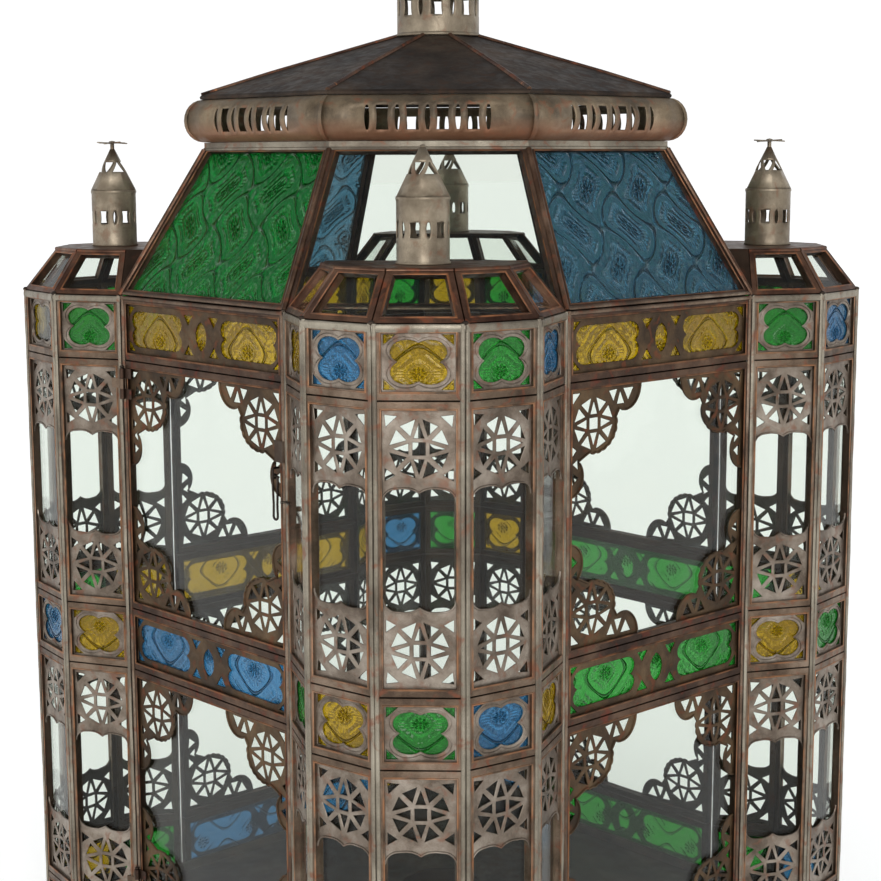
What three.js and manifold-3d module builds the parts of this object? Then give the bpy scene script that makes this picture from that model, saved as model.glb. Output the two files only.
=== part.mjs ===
// Moroccan lantern: a body with four wide faces, a five-sided bay on each corner, a glazed roof,
// a rolled vent band and a vented crown with a hanging ring. Millimetres, +Z up, the door faces -Y,
// and the origin is on the middle of the underside of the floor.
import * as THREE from 'three';
import { ConvexGeometry } from 'three/addons/geometries/ConvexGeometry.js';
import { mergeVertices } from 'three/addons/utils/BufferGeometryUtils.js';
import Module from 'manifold-3d';

const wasm = await Module();
wasm.setup();

// Plan and storeys
const bayFace = 55;           // width of each of a bay's five faces
const wideFace = 187;         // width of a wide face between two bays
const bandRow = 45.5;         // height of a row of coloured glass
const windowRow = 180;        // height of a row of clear glass
const came = 5.6;             // width of the folded channel that edges every pane
const wallSheet = 3;          // depth of a wall's channels with their pierced plate
const glass = 2.5;            // thickness of a pane
const seat = 0.3;             // clearance between two pieces that touch
const doorGap = 0.8;          // clearance down each side of the door
const paneLap = 3.2;          // how far a pane reaches behind the channel round it

// Pierced patterns
const cartoucheWidth = 60;    // long coloured opening in a wide band
const cartoucheHeight = 23;
const cartoucheSide = 11;     // from the edge of the wide face to its first cartouche
const cartoucheCorner = 7;    // how much of each corner is cut off
const lensWidth = 13;         // small diamond between two cartouches
const lensHeight = 15;
const flowerLobe = 18.5;      // radius to the lobes of a bay's coloured opening
const flowerCusp = 13;        // radius to the points between the lobes
const bayPlate = 46;          // height of the pierced plates above and below a bay's window
const archRise = 9;           // how far a bay window's arch rises over its springing
const archShoulder = 0.72;    // where the arch bends, as a share of the half width
const archShoulderDrop = 3;   // how far the bend lies under the crown
const medallionAcross = 20.5; // half width of the round corner piece of a wide window
const medallionDown = 17.6;   // half height of the same
const medallionX = 22.8;      // its centre from the post
const medallionY = 24;        // its centre from the rail
const railLobeX = 52.5;       // centre of the half round beside it under the rail
const railLobeHalf = 14.5;
const railLobeDown = 16.5;
const postLobeY = 56;         // centre of the half round beneath it on the post
const postLobeHalf = 13;
const postLobeOut = 12;
const railLobeEnd = 115;      // degrees round the half rounds where they meet the medallion
const postLobeStart = -50;
const medallionTop = -12;     // degrees round the medallion, from under the rail to beside the post
const medallionEnd = 105;
const medallionEye = 3.6;     // half width of the square hole in a medallion

// Floor and candle dish
const floorSheet = 1.6;       // thickness of the floor
const lipHeight = 8;          // upstand inside the walls
const lipSheet = 1.2;
const lipGap = 0.6;           // from the glass to the upstand
const dishRadius = 46;
const dishHeight = 12;
const dishSheet = 1.6;
const socketRadius = 31;      // inside radius of the ring that holds the candle
const socketHeight = 26;

// Main roof, vent band and cap
const roofRise = 101;
const roofRun = 58;           // how far the roof leans in
const roofSheet = 3;
const roofCame = 7;
const flangeHeight = 5.2;     // upright strip on top of the roof
const bandHeight = 29.5;      // rolled vent band
const bandBulge = 12;
const bandSheet = 2;
const bandFacets = 6;
const ventSlots = 4;          // wide slots in each side of the band
const ventSlotWidth = 9;
const ventSlotHeight = 14;
const ventSlotPitch = 19.5;
const capRise = 46;
const capSheet = 3;

// Bay roofs and finials
const bayRoofRise = 31;
const bayRoofScale = 0.72;    // the bay roof's top against its eave
const bayRoofSheet = 3;
const bayRoofCame = 5;
const bayTopSheet = 1.6;      // flat plate that closes a bay roof
const finialRadius = 16.5;
const finialOut = 22;         // finial's axis from the back of its bay
const finialHeight = 41;
const finialCone = 30;
const finialSheet = 1.6;
const finialSides = 16;
const finialTip = 1.6;
const finialSlots = 6;
const finialSlotWidth = 7;
const finialSlotHeight = 12;
const finialSlotBase = 13.5;  // from the foot of the finial to its slots
const finialNeck = 4;         // wire between the cone and the star
const starRadius = 11.5;
const starWaist = 6.5;
const starPoints = 8;
const starSheet = 1.2;

// Crown and hanging ring
const crownRadius = 30;
const crownHeight = 42;
const crownCone = 44;
const crownSheet = 2;
const crownSlots = 8;
const crownSlotWidth = 9;
const crownSlotHeight = 18;
const crownKnob = 7;
const eyeRadius = 8.5;        // middle of the wire of the eye on the crown
const eyeWire = 2.4;
const ringRadius = 27;        // middle of the wire of the hanging ring
const ringWire = 2.6;

// Door hinges and latch
const knuckleRadius = 2;
const knuckleLength = 7;
const hingePin = 0.8;         // radius of the wire through the knuckles
const pinHead = 1.5;
const pinClearance = 0.3;
const hingeIn = 2;            // hinge axis from the edge of the door
const hingeEnds = 62;         // upper and lower hinge from the ends of the door
const leafLength = 9;
const leafSheet = 0.9;
const latchWire = 1.6;
const latchDown = 104;        // staple under the eave
const latchFromEdge = 8;      // staple from the edge of the door
const stapleOut = 5;
const stapleHeight = 8;
const loopWidth = 7.2;
const loopLength = 31;
const loopSlack = 0.5;        // clearance of the loop over the staple's lower leg
const catchAlong = 4;         // catch from the corner of the bay
const catchFoot = 12;         // length of its foot along the bay's face
const catchOut = 5;
const catchDown = 122;

// Derived plan: a bay is half of a ten-sided figure
const deg = Math.PI / 180;
const bayTurn = 36;
const bayRound = bayFace / (2 * Math.sin(bayTurn / 2 * deg));
const bayDepth = bayFace / (2 * Math.tan(bayTurn / 2 * deg));
const apothem = wideFace / 2 + bayRound * Math.SQRT2;
const bayCentre = wideFace * Math.SQRT1_2 + bayRound;
const wallBase = floorSheet + seat;
const wallHeight = 3 * bandRow + 2 * windowRow;
const eave = wallBase + wallHeight;
const rowHeights = [bandRow, windowRow, bandRow, windowRow, bandRow];
const rowStarts = rowHeights.map((_, i) => wallBase + rowHeights.slice(0, i).reduce((a, b) => a + b, 0));
const far = 1000;

// Finishes
const metal = (color, roughness = 0.55) => new THREE.MeshStandardMaterial({ color, roughness, metalness: 0.8 });
const clear = (color) => new THREE.MeshStandardMaterial({ color, roughness: 0.15, metalness: 0, transparent: true,
  opacity: 0.45 });
const patina = metal('#5a473a');
const darkPatina = metal('#46382e');
const wire = metal('#3a332d', 0.5);
const clearGlass = clear('#b9c4bf');
const paneColors = { amber: clear('#a8861e'), blue: clear('#2f6f9f'), green: clear('#1f7a3c') };

// Solids: a closed three.js geometry becomes a manifold once its shared corners are merged
function solid(geometry) {
  const bare = geometry.index ? geometry.clone() : geometry;
  bare.deleteAttribute('normal');
  bare.deleteAttribute('uv');
  const merged = mergeVertices(bare, 1e-4);
  return new wasm.Manifold(new wasm.Mesh({ numProp: 3, vertProperties: merged.attributes.position.array,
    triVerts: new Uint32Array(merged.index.array) }));
}

function joined(pieces) {
  return pieces.slice(1).reduce((whole, piece) => whole.add(piece), pieces[0]);
}

function cut(body, cutters) {
  return body.subtract(joined(cutters));
}

function geometryOf(manifold) {
  const data = manifold.getMesh();
  const geometry = new THREE.BufferGeometry();
  geometry.setAttribute('position', new THREE.Float32BufferAttribute(data.vertProperties, 3));
  geometry.setIndex(Array.from(data.triVerts));
  geometry.computeVertexNormals();
  return geometry;
}

function addPiece(group, name, shape, material) {
  const geometry = shape.isBufferGeometry ? shape : geometryOf(shape);
  const mesh = new THREE.Mesh(geometry, material);
  mesh.name = name;
  group.add(mesh);
  return mesh;
}

// A flat shape drawn as seen from in front (-Y) and carried back from y by its depth
function upright(shape, y, depth) {
  const geometry = new THREE.ExtrudeGeometry(shape, { depth, bevelEnabled: false, curveSegments: 4 });
  geometry.rotateX(Math.PI / 2);
  geometry.translate(0, y + depth, 0);
  return geometry;
}

// A flat shape on the ground carried up from z by its height
function level(shape, z, height) {
  const geometry = new THREE.ExtrudeGeometry(shape, { depth: height, bevelEnabled: false });
  geometry.translate(0, 0, z);
  return geometry;
}

function box(width, depth, height, x, y, z) {
  const geometry = new THREE.BoxGeometry(width, depth, height);
  geometry.translate(x, y, z);
  return geometry;
}

function polygon(points, Kind = THREE.Shape) {
  return new Kind(points.map(([x, y]) => new THREE.Vector2(x, y)));
}

function rectangle(x0, x1, y0, y1, Kind) {
  return polygon([[x0, y0], [x1, y0], [x1, y1], [x0, y1]], Kind);
}

// Points on an ellipse's arc, ends included
function arc(x, y, across, down, from, to, steps) {
  return Array.from({ length: steps + 1 }, (_, i) => {
    const angle = (from + (to - from) * i / steps) * deg;
    return [x + across * Math.cos(angle), y + down * Math.sin(angle)];
  });
}

// The same ring of corners pushed inwards (or outwards, with a minus) by a distance
function inset(points, distance) {
  const count = points.length;
  const edges = points.map(([x0, y0], i) => {
    const [x1, y1] = points[(i + 1) % count];
    const length = Math.hypot(x1 - x0, y1 - y0);
    const normal = [-(y1 - y0) / length, (x1 - x0) / length];
    return { normal, reach: normal[0] * x0 + normal[1] * y0 + distance };
  });
  return edges.map((b, i) => {
    const a = edges[(i + count - 1) % count];
    const det = a.normal[0] * b.normal[1] - a.normal[1] * b.normal[0];
    return [(a.reach * b.normal[1] - b.reach * a.normal[1]) / det,
      (a.normal[0] * b.reach - b.normal[0] * a.reach) / det];
  });
}

// Corners of the eight-sided body at a distance inside its walls, starting right of the door
function bodyRing(inwards) {
  const a = apothem - inwards;
  const half = (bayCentre - inwards) * Math.SQRT2 - a;
  return [0, 90, 180, 270].flatMap((turn) => {
    const [s, c] = [Math.sin(turn * deg), Math.cos(turn * deg)];
    return [[half, -a], [a, -half]].map(([x, y]) => [x * c - y * s, x * s + y * c]);
  });
}

// A section of [distance inwards, height] points carried round the eight sides
function aroundBody(section) {
  const rings = section.map(([inwards, z]) => bodyRing(inwards).map(([x, y]) => [x, y, z]));
  const sides = rings[0].length;
  const index = [];
  section.forEach((_, i) => {
    const next = (i + 1) % section.length;
    for (let k = 0; k < sides; k++) {
      const [a, b] = [i * sides + k, i * sides + (k + 1) % sides];
      const [c, d] = [next * sides + k, next * sides + (k + 1) % sides];
      index.push(a, b, d, a, d, c);
    }
  });
  const geometry = new THREE.BufferGeometry();
  geometry.setAttribute('position', new THREE.Float32BufferAttribute(rings.flat(2), 3));
  geometry.setIndex(index);
  return geometry;
}

// A flat slab whose outer face has the given corners, anticlockwise from outside
function slab(corners, from, thickness) {
  const [p, q, r] = corners.map((corner) => new THREE.Vector3(...corner));
  const normal = q.clone().sub(p).cross(r.clone().sub(p)).normalize();
  const face = corners.map((corner) => new THREE.Vector3(...corner).addScaledVector(normal, -from));
  return new ConvexGeometry([...face, ...face.map((v) => v.clone().addScaledVector(normal, -thickness))]);
}

// A four-cornered face drawn in by a margin at its sides, foot and head
function drawnIn([a, b, c, d], side, foot, head) {
  const v = [a, b, c, d].map((corner) => new THREE.Vector3(...corner));
  const along = v[1].clone().sub(v[0]).normalize();
  const normal = along.clone().cross(v[3].clone().sub(v[0])).normalize();
  const up = normal.clone().cross(along);
  const flat = v.map((p) => [p.clone().sub(v[0]).dot(along), p.clone().sub(v[0]).dot(up)]);
  const slope = Math.hypot(flat[3][0] - flat[0][0], flat[3][1]) / flat[3][1];
  const lean = (flat[3][0] - flat[0][0]) / flat[3][1];
  const leanRight = (flat[2][0] - flat[1][0]) / flat[3][1];
  const top = flat[3][1] - head;
  const left = (y) => lean * y + side * slope;
  const right = (y) => flat[1][0] + leanRight * y - side * slope;
  return [[left(foot), foot], [right(foot), foot], [right(top), top], [left(top), top]].map(([x, y]) =>
    v[0].clone().addScaledVector(along, x).addScaledVector(up, y).toArray());
}

// Openings of a wide wall, drawn about the middle of the face
function cartouche(centre, middle) {
  const [w, h, k] = [cartoucheWidth / 2, cartoucheHeight / 2, cartoucheCorner];
  return polygon([[-w, -h + k], [-w + k, -h], [w - k, -h], [w, -h + k], [w, h - k], [w - k, h], [-w + k, h],
    [-w, h - k]].map(([x, y]) => [x + centre, y + middle]), THREE.Path);
}

function lens(middle) {
  const [w, h] = [lensWidth / 2, lensHeight / 2];
  return polygon([[-w, middle], [0, middle - h], [w, middle], [0, middle + h]], THREE.Path);
}

// One corner of a wide window from its rail round the medallion to its post, from the corner itself
function windowCorner() {
  return [...arc(railLobeX, 0, railLobeHalf, railLobeDown, 0, railLobeEnd, 4),
    ...arc(medallionX, medallionY, medallionAcross, medallionDown, medallionTop, medallionEnd, 4),
    ...arc(0, postLobeY, postLobeOut, postLobeHalf, postLobeStart, 90, 3)];
}

function wideWindow(half, low, high) {
  const corner = windowCorner();
  const back = [...corner].reverse();
  return polygon([...corner.map(([x, y]) => [-half + x, high - y]), ...back.map(([x, y]) => [-half + x, low + y]),
    ...corner.map(([x, y]) => [half - x, low + y]), ...back.map(([x, y]) => [half - x, high - y])], THREE.Path);
}

function medallionEyes(half, low, high) {
  return [[-1, low + medallionY], [-1, high - medallionY], [1, low + medallionY], [1, high - medallionY]]
    .map(([side, y]) => [side * (half - medallionX), y])
    .map(([x, y]) => rectangle(x - medallionEye, x + medallionEye, y - medallionEye, y + medallionEye, THREE.Path));
}

// A wide wall without its glass, in the door's place
function wideWall(width) {
  const half = width / 2;
  const shape = rectangle(-half, half, wallBase, eave);
  rowHeights.forEach((height, row) => {
    const low = rowStarts[row];
    const middle = low + height / 2;
    if (row % 2) {
      shape.holes.push(wideWindow(half - came, low + came, low + height - came));
      shape.holes.push(...medallionEyes(half - came, low + came, low + height - came));
    } else {
      const centre = wideFace / 2 - cartoucheSide - cartoucheWidth / 2;
      shape.holes.push(cartouche(-centre, middle), cartouche(centre, middle), lens(middle));
    }
  });
  return solid(upright(shape, -apothem, wallSheet));
}

function widePane(width, row) {
  const half = width / 2 - paneLap / 2;
  const [low, high] = [rowStarts[row] + came - paneLap, rowStarts[row] + rowHeights[row] - came + paneLap];
  return upright(rectangle(-half, half, low, high), -apothem + wallSheet + seat, glass);
}

const paneNames = ['band_bottom', 'window_lower', 'band_middle', 'window_upper', 'band_top'];

function addWidePanes(group, wall, width, colors) {
  paneNames.forEach((pane, row) => {
    addPiece(group, `${wall}_glass_${pane}`, widePane(width, row), row % 2 ? clearGlass : paneColors[colors[row / 2]]);
  });
}

// Hinges: knuckles of the door above and below one knuckle of the bay, on one wire pin
const hingeX = -wideFace / 2 + doorGap + hingeIn;
const hingeY = -apothem - knuckleRadius - seat;
const hingeMiddles = [wallBase + hingeEnds, eave - hingeEnds];
const knuckleStep = knuckleLength + seat;

function barrel(x, y, z, height, radius, sides = 12) {
  const geometry = new THREE.CylinderGeometry(radius, radius, height, sides);
  geometry.rotateX(Math.PI / 2);
  geometry.translate(x, y, z);
  return geometry;
}

function doorKnuckles(middle) {
  return [-1, 1].flatMap((side) => {
    const z = middle + side * knuckleStep;
    const depth = -apothem - hingeY + leafSheet;
    const leaf = box(leafLength, leafSheet + seat, knuckleLength, hingeX + leafLength / 2,
      -apothem + (seat - leafSheet) / 2, z);
    const web = box(knuckleRadius, depth, knuckleLength, hingeX + knuckleRadius / 2, hingeY + depth / 2, z);
    return [solid(barrel(hingeX, hingeY, z, knuckleLength, knuckleRadius)), solid(leaf), solid(web)];
  });
}

function pinBore(middle) {
  return solid(barrel(hingeX, hingeY, middle, 4 * knuckleStep, hingePin + pinClearance));
}

function hingePinShape(middle) {
  const length = 3 * knuckleStep + 2 * seat;
  const shank = barrel(hingeX, hingeY, middle, length, hingePin, 8);
  const head = barrel(hingeX, hingeY, middle + length / 2 + pinHead / 2, pinHead, pinHead, 8);
  return solid(shank).add(solid(head));
}

// The bay's knuckle, with its leaf lying on the bay's first face left of the door
function bayKnuckle(middle) {
  const turn = (bayTurn * 2 - 45) * deg;
  const [cornerX, cornerY] = [-wideFace / 2, -apothem];
  const along = [-Math.cos(turn), -Math.sin(turn)];
  const out = [Math.sin(turn), -Math.cos(turn)];
  const at = (t, n) => [cornerX + along[0] * t + out[0] * n, cornerY + along[1] * t + out[1] * n];
  const outline = [at(leafLength, -seat), at(seat, -seat / 2), [hingeX, hingeY + knuckleRadius],
    [hingeX + out[0] * knuckleRadius, hingeY + out[1] * knuckleRadius], at(leafLength, leafSheet)];
  const leaf = level(polygon(outline), middle - knuckleLength / 2, knuckleLength);
  return solid(barrel(hingeX, hingeY, middle, knuckleLength, knuckleRadius)).add(solid(leaf));
}

// Latch: an upright staple on the door, a hanging wire loop through it, and a catch on the bay
const stapleX = wideFace / 2 - doorGap - latchFromEdge;
const stapleZ = eave - latchDown;
const loopY = -apothem - stapleOut / 2;
const loopTop = stapleZ - stapleHeight / 2 + latchWire + loopSlack;

function staple() {
  const [low, high] = [-stapleHeight / 2, stapleHeight / 2];
  const shape = polygon([[seat, low], [stapleOut, low], [stapleOut, high], [seat, high], [seat, high - latchWire],
    [stapleOut - latchWire, high - latchWire], [stapleOut - latchWire, low + latchWire], [seat, low + latchWire]]);
  const geometry = new THREE.ExtrudeGeometry(shape, { depth: latchWire, bevelEnabled: false });
  geometry.rotateX(Math.PI / 2);
  geometry.rotateZ(-Math.PI / 2);
  geometry.translate(stapleX + latchWire / 2, -apothem, stapleZ);
  return geometry;
}

function stadium(half, low, high, Kind) {
  return polygon([...arc(stapleX, low + half, half, half, 180, 360, 6),
    ...arc(stapleX, high - half, half, half, 0, 180, 6)], Kind);
}

function latchLoop() {
  const top = loopTop + latchWire;
  const shape = stadium(loopWidth / 2, top - loopLength, top);
  shape.holes.push(stadium(loopWidth / 2 - latchWire, top - loopLength + latchWire, top - latchWire, THREE.Path));
  return upright(shape, loopY - latchWire / 2, latchWire);
}

// The catch: a wire whose foot lies on the bay's first face and whose end stands out from the post
function latchCatch() {
  const [x, y] = [catchAlong - bayFace / 2, -bayDepth - seat];
  const outline = polygon([[x, y], [x, y - catchOut], [x + latchWire, y - catchOut],
    [x + latchWire, y - latchWire], [x + catchFoot, y - latchWire], [x + catchFoot, y]]);
  return level(outline, eave - catchDown, latchWire);
}

// A bay in the door's direction: its own axis is the upright line through the middle of its back
function decagon(radius, z, height, topRadius = radius) {
  const geometry = new THREE.CylinderGeometry(topRadius, radius, height, 10);
  geometry.rotateX(Math.PI / 2);
  geometry.rotateZ(bayTurn / 2 * deg + Math.PI);
  geometry.translate(0, 0, z + height / 2);
  return solid(geometry);
}

const roundness = bayRound / bayDepth;
const frontHalf = solid(box(far, far, 2 * far, 0, -far / 2, 0));
const bayTurns = [-2, -1, 0, 1, 2].map((step) => step * bayTurn * deg);

function bayOpening(row) {
  const [low, high] = [rowStarts[row] + came, rowStarts[row] + rowHeights[row] - came];
  const middle = (low + high) / 2;
  if (row % 2 === 0) {
    return polygon(Array.from({ length: 8 }, (_, i) => {
      const radius = i % 2 ? flowerLobe : flowerCusp;
      return [radius * Math.cos(i * 45 * deg), middle + radius * Math.sin(i * 45 * deg)];
    }));
  }
  const half = bayFace / 2 - came;
  const end = high - bayPlate - middle;
  const arch = [[half, end - archRise], [half * archShoulder, end - archShoulderDrop], [0, end],
    [-half * archShoulder, end - archShoulderDrop], [-half, end - archRise]];
  return polygon([...arch, ...arch.map(([x, y]) => [-x, -y])].map(([x, y]) => [x, y + middle]));
}

// A bay's roof face: the eave edge below and the top ring's edge above
const bayTop = eave + bayRoofRise;
const bayRoofFace = [[-bayFace / 2, -bayDepth, eave], [bayFace / 2, -bayDepth, eave],
  [bayFace / 2 * bayRoofScale, -bayDepth * bayRoofScale, bayTop],
  [-bayFace / 2 * bayRoofScale, -bayDepth * bayRoofScale, bayTop]];
const bayRoofLean = Math.hypot(bayRoofRise, bayDepth * (1 - bayRoofScale)) / bayRoofRise;

function bayRoofShell(from, thickness, z = eave, height = bayRoofRise) {
  const radius = (depth, share) => (bayDepth * share - depth * bayRoofLean) * roundness;
  const outer = decagon(radius(from, 1), z, height, radius(from, bayRoofScale));
  return outer.subtract(decagon(radius(from + thickness, 1), z, height, radius(from + thickness, bayRoofScale)));
}

function turned(manifold, angle) {
  return manifold.rotate([0, 0, angle / deg]);
}

// The space that the main roof fills, seen from a bay, kept clear by the seat clearance
const roofLean = roofRun / roofRise;
const roofSpace = solid(aroundBody([[-seat, eave - seat], [roofRun - seat, eave + roofRise], [apothem * 0.9,
  eave + roofRise], [apothem * 0.9, eave - seat]])).rotate([0, 0, -45]).translate([0, bayCentre, 0]);

function bayFrame() {
  const wall = decagon(bayRound, wallBase, wallHeight)
    .subtract(decagon((bayDepth - wallSheet) * roundness, wallBase - 1, wallHeight + 2));
  const openings = joined(rowHeights.map((_, row) => solid(upright(bayOpening(row), -bayDepth - 1, wallSheet + 2))));
  const light = solid(slab(drawnIn(bayRoofFace, bayRoofCame / 2, bayRoofCame, bayRoofCame), -1, bayRoofSheet + 2));
  const cutters = bayTurns.flatMap((turn) => [turned(openings, turn), turned(light, turn)]);
  const ring = bayRound * bayRoofScale;
  const plate = polygon([...arc(0, 0, ring, ring, 180, 360, 5), [ring, bayDepth / 2], [-ring, bayDepth / 2]]);
  const top = solid(level(plate, bayTop - bayTopSheet, bayTopSheet));
  const vent = solid(barrel(0, -finialOut, bayTop, 4 * bayTopSheet, finialRadius - 2 * finialSheet, finialSides));
  const shell = cut(wall.add(bayRoofShell(0, bayRoofSheet)), cutters).intersect(frontHalf);
  return shell.add(top).subtract(vent).subtract(roofSpace);
}

function bayGlass() {
  const shell = decagon((bayDepth - wallSheet - seat) * roundness, wallBase, wallHeight - came)
    .subtract(decagon((bayDepth - wallSheet - seat - glass) * roundness, wallBase - 1, wallHeight + 2));
  return shell.intersect(frontHalf);
}

function bayRoofGlass() {
  const shell = bayRoofShell(bayRoofSheet + seat, glass);
  const [low, high] = [eave + bayRoofCame / 2, bayTop - bayTopSheet - seat];
  const slice = solid(box(far, far, high - low, 0, -far / 2, (low + high) / 2));
  return shell.intersect(slice).subtract(roofSpace);
}

// A hollow turned piece whose section is given as [radius, height] pairs
function turnedShell(section, sides) {
  const points = [...section, section[0]].map(([r, z]) => new THREE.Vector2(r, z));
  const geometry = new THREE.LatheGeometry(points, sides);
  geometry.rotateX(Math.PI / 2);
  return solid(geometry);
}

function slotRing(count, width, height, reach, z) {
  return Array.from({ length: count }, (_, i) =>
    solid(box(width, reach, height, 0, -reach / 2, z + height / 2)).rotate([0, 0, i * 360 / count]));
}

function star(z) {
  const points = Array.from({ length: 2 * starPoints }, (_, i) => {
    const radius = i % 2 ? starWaist : starRadius;
    return [radius * Math.cos(i * Math.PI / starPoints), radius * Math.sin(i * Math.PI / starPoints)];
  });
  return solid(level(polygon(points), z, starSheet));
}

// A bay's finial: a slotted drum, a cone and, on three of the four, a star of cut sheet
function finial(withStar) {
  const [r, t, h] = [finialRadius, finialSheet, finialHeight];
  const peak = h + finialCone;
  const section = [[r, 0], [r, h], [finialTip, peak], [0, peak], [0, peak - 3 * t], [r - t, h - t], [r - t, 0]];
  const shell = cut(turnedShell(section, finialSides),
    slotRing(finialSlots, finialSlotWidth, finialSlotHeight, 2 * r, finialSlotBase));
  if (!withStar) return shell;
  const neck = solid(barrel(0, 0, peak + finialNeck / 2 - t, finialNeck + 2 * t, finialTip, 8));
  return joined([shell, neck, star(peak + finialNeck)]);
}

// Main roof: a slanting frame of channels with the upright flange on its top
const roofTop = eave + roofRise;
const flangeTop = roofTop + flangeHeight;

function roofFaces() {
  const [low, high] = [bodyRing(0), bodyRing(roofRun)];
  return low.map(([x, y], i) => {
    const j = (i + 7) % 8;
    return [[...low[j], eave], [x, y, eave], [...high[i], roofTop], [...high[j], roofTop]];
  });
}

function roofFrame() {
  const across = roofSheet * Math.hypot(roofRise, roofRun) / roofRise;
  const shell = solid(aroundBody([[roofLean * seat, eave + seat], [roofRun, roofTop], [roofRun, flangeTop],
    [roofRun + roofSheet, flangeTop], [roofRun + roofSheet, roofTop], [across + roofLean * seat, eave + seat]]));
  const lights = roofFaces().map((face) => solid(slab(drawnIn(face, roofCame / 2, roofCame, roofCame), -1,
    2 * roofSheet)));
  return cut(shell, lights);
}

function roofPane(face) {
  return slab(drawnIn(face, roofCame / 2 - paneLap / 2 + glass, roofCame - paneLap / 2, roofCame - paneLap / 2),
    roofSheet + seat, glass);
}

// Vent band: a rolled strip, half round outwards and open inwards
const bandBase = flangeTop + seat;
const bandTop = bandBase + bandHeight;

function ventBand() {
  const roll = (shrink) => arc(roofRun, bandBase + bandHeight / 2, -(bandBulge - shrink),
    bandHeight / 2 - shrink, -90, 90, bandFacets);
  const band = solid(aroundBody([...roll(0), ...roll(bandSheet).reverse()]));
  const middle = bandBase + bandHeight / 2;
  const slots = [0, 45, 90, 135, 180, 225, 270, 315].flatMap((turn) => {
    const reach = (turn % 90 ? bayCentre : apothem) - roofRun;
    return Array.from({ length: ventSlots }, (_, i) => {
      const x = (i - (ventSlots - 1) / 2) * ventSlotPitch;
      return solid(box(ventSlotWidth, 2 * bandBulge, ventSlotHeight, x, -reach - bandBulge / 2, middle))
        .rotate([0, 0, turn]);
    });
  });
  return cut(band, slots);
}

// Cap: a low eight-sided roof that narrows from the vent band to the crown
const capBase = bandTop + seat;
const crownBase = capBase + capRise;
const capInner = bayCentre - crownRadius;

function ventCap() {
  const rise = capSheet * Math.hypot(capRise, capInner - roofRun) / (capInner - roofRun);
  return solid(aroundBody([[roofRun - bandSheet, capBase], [roofRun - bandSheet, capBase + capSheet],
    [capInner, crownBase], [capInner + crownSheet + came, crownBase],
    [capInner + crownSheet + came, crownBase - rise], [roofRun + came, capBase]]));
}

function crown() {
  const [r, t] = [crownRadius, crownSheet];
  const base = crownBase + seat;
  const shoulder = base + crownHeight;
  const peak = shoulder + crownCone;
  const shell = turnedShell([[r, base], [r, shoulder], [crownKnob / 2, peak], [0, peak], [0, peak - 3 * t],
    [r - t, shoulder - t], [r - t, base]], finialSides);
  const slots = slotRing(crownSlots, crownSlotWidth, crownSlotHeight, 2 * r, base + (crownHeight - crownSlotHeight) / 2);
  const knob = new THREE.SphereGeometry(crownKnob, 12, 8);
  knob.rotateX(Math.PI / 2);
  knob.translate(0, 0, peak + crownKnob / 2);
  const eye = new THREE.TorusGeometry(eyeRadius, eyeWire, 8, 20);
  eye.rotateX(Math.PI / 2);
  eye.translate(0, 0, eyeCentre);
  return joined([cut(shell, slots), solid(knob), solid(eye)]);
}

// The ring passes through the eye and leans down the crown's cone, its far side resting on it
const eyeCentre = crownBase + seat + crownHeight + crownCone + 1.5 * crownKnob + eyeRadius;
const ringPivot = eyeCentre - eyeRadius + eyeWire + seat + ringWire;
const coneLean = Math.atan2(crownRadius - crownKnob / 2, crownCone);
const pivotOffCone = (ringPivot - crownBase - seat - crownHeight - crownCone) * Math.sin(coneLean)
  - crownKnob / 2 * Math.cos(coneLean);
const ringLean = coneLean + Math.asin((ringWire + seat - pivotOffCone) / (2 * ringRadius));

function hangingRing() {
  const geometry = new THREE.TorusGeometry(ringRadius, ringWire, 8, 28);
  geometry.translate(ringRadius, 0, 0);
  geometry.rotateY(Math.PI / 2 - ringLean);
  geometry.translate(0, 0, ringPivot);
  return geometry;
}

// Floor: the plan's outline with a low upstand inside the walls
function planOutline() {
  const half = wideFace / 2;
  return [0, 90, 180, 270].flatMap((turn) => {
    const bay = arc(0, 0, bayRound, bayRound, 180, 360, 5).map(([x, y]) => {
      const [s, c] = [Math.SQRT1_2, Math.SQRT1_2];
      return [(x * c - (y - bayCentre) * s), (x * s + (y - bayCentre) * c)];
    });
    const [s, c] = [Math.sin(turn * deg), Math.cos(turn * deg)];
    return bay.map(([x, y]) => [x * c - y * s, x * s + y * c]);
  }).filter(([x, y]) => Math.hypot(x, y) > half);
}

function floorPan() {
  const outline = planOutline();
  const lip = wallSheet + seat + glass + lipGap;
  const upstand = polygon(inset(outline, lip));
  upstand.holes.push(polygon(inset(outline, lip + lipSheet), THREE.Path));
  return solid(level(polygon(outline), 0, floorSheet)).add(solid(level(upstand, floorSheet / 2,
    lipHeight + floorSheet / 2)));
}

function candleDish() {
  const [t, z] = [dishSheet, floorSheet + seat];
  const inner = socketRadius + t;
  return turnedShell([[0, z], [dishRadius - dishHeight / 2, z], [dishRadius, z + dishHeight],
    [dishRadius - t, z + dishHeight], [dishRadius - dishHeight / 2 - t, z + t], [inner, z + t],
    [inner, z + socketHeight], [socketRadius, z + socketHeight], [socketRadius, z + t], [0, z + t]], 20);
}

const lantern = new THREE.Group();
addPiece(lantern, 'floor_pan', floorPan(), darkPatina);
addPiece(lantern, 'candle_dish', candleDish(), darkPatina);

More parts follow.
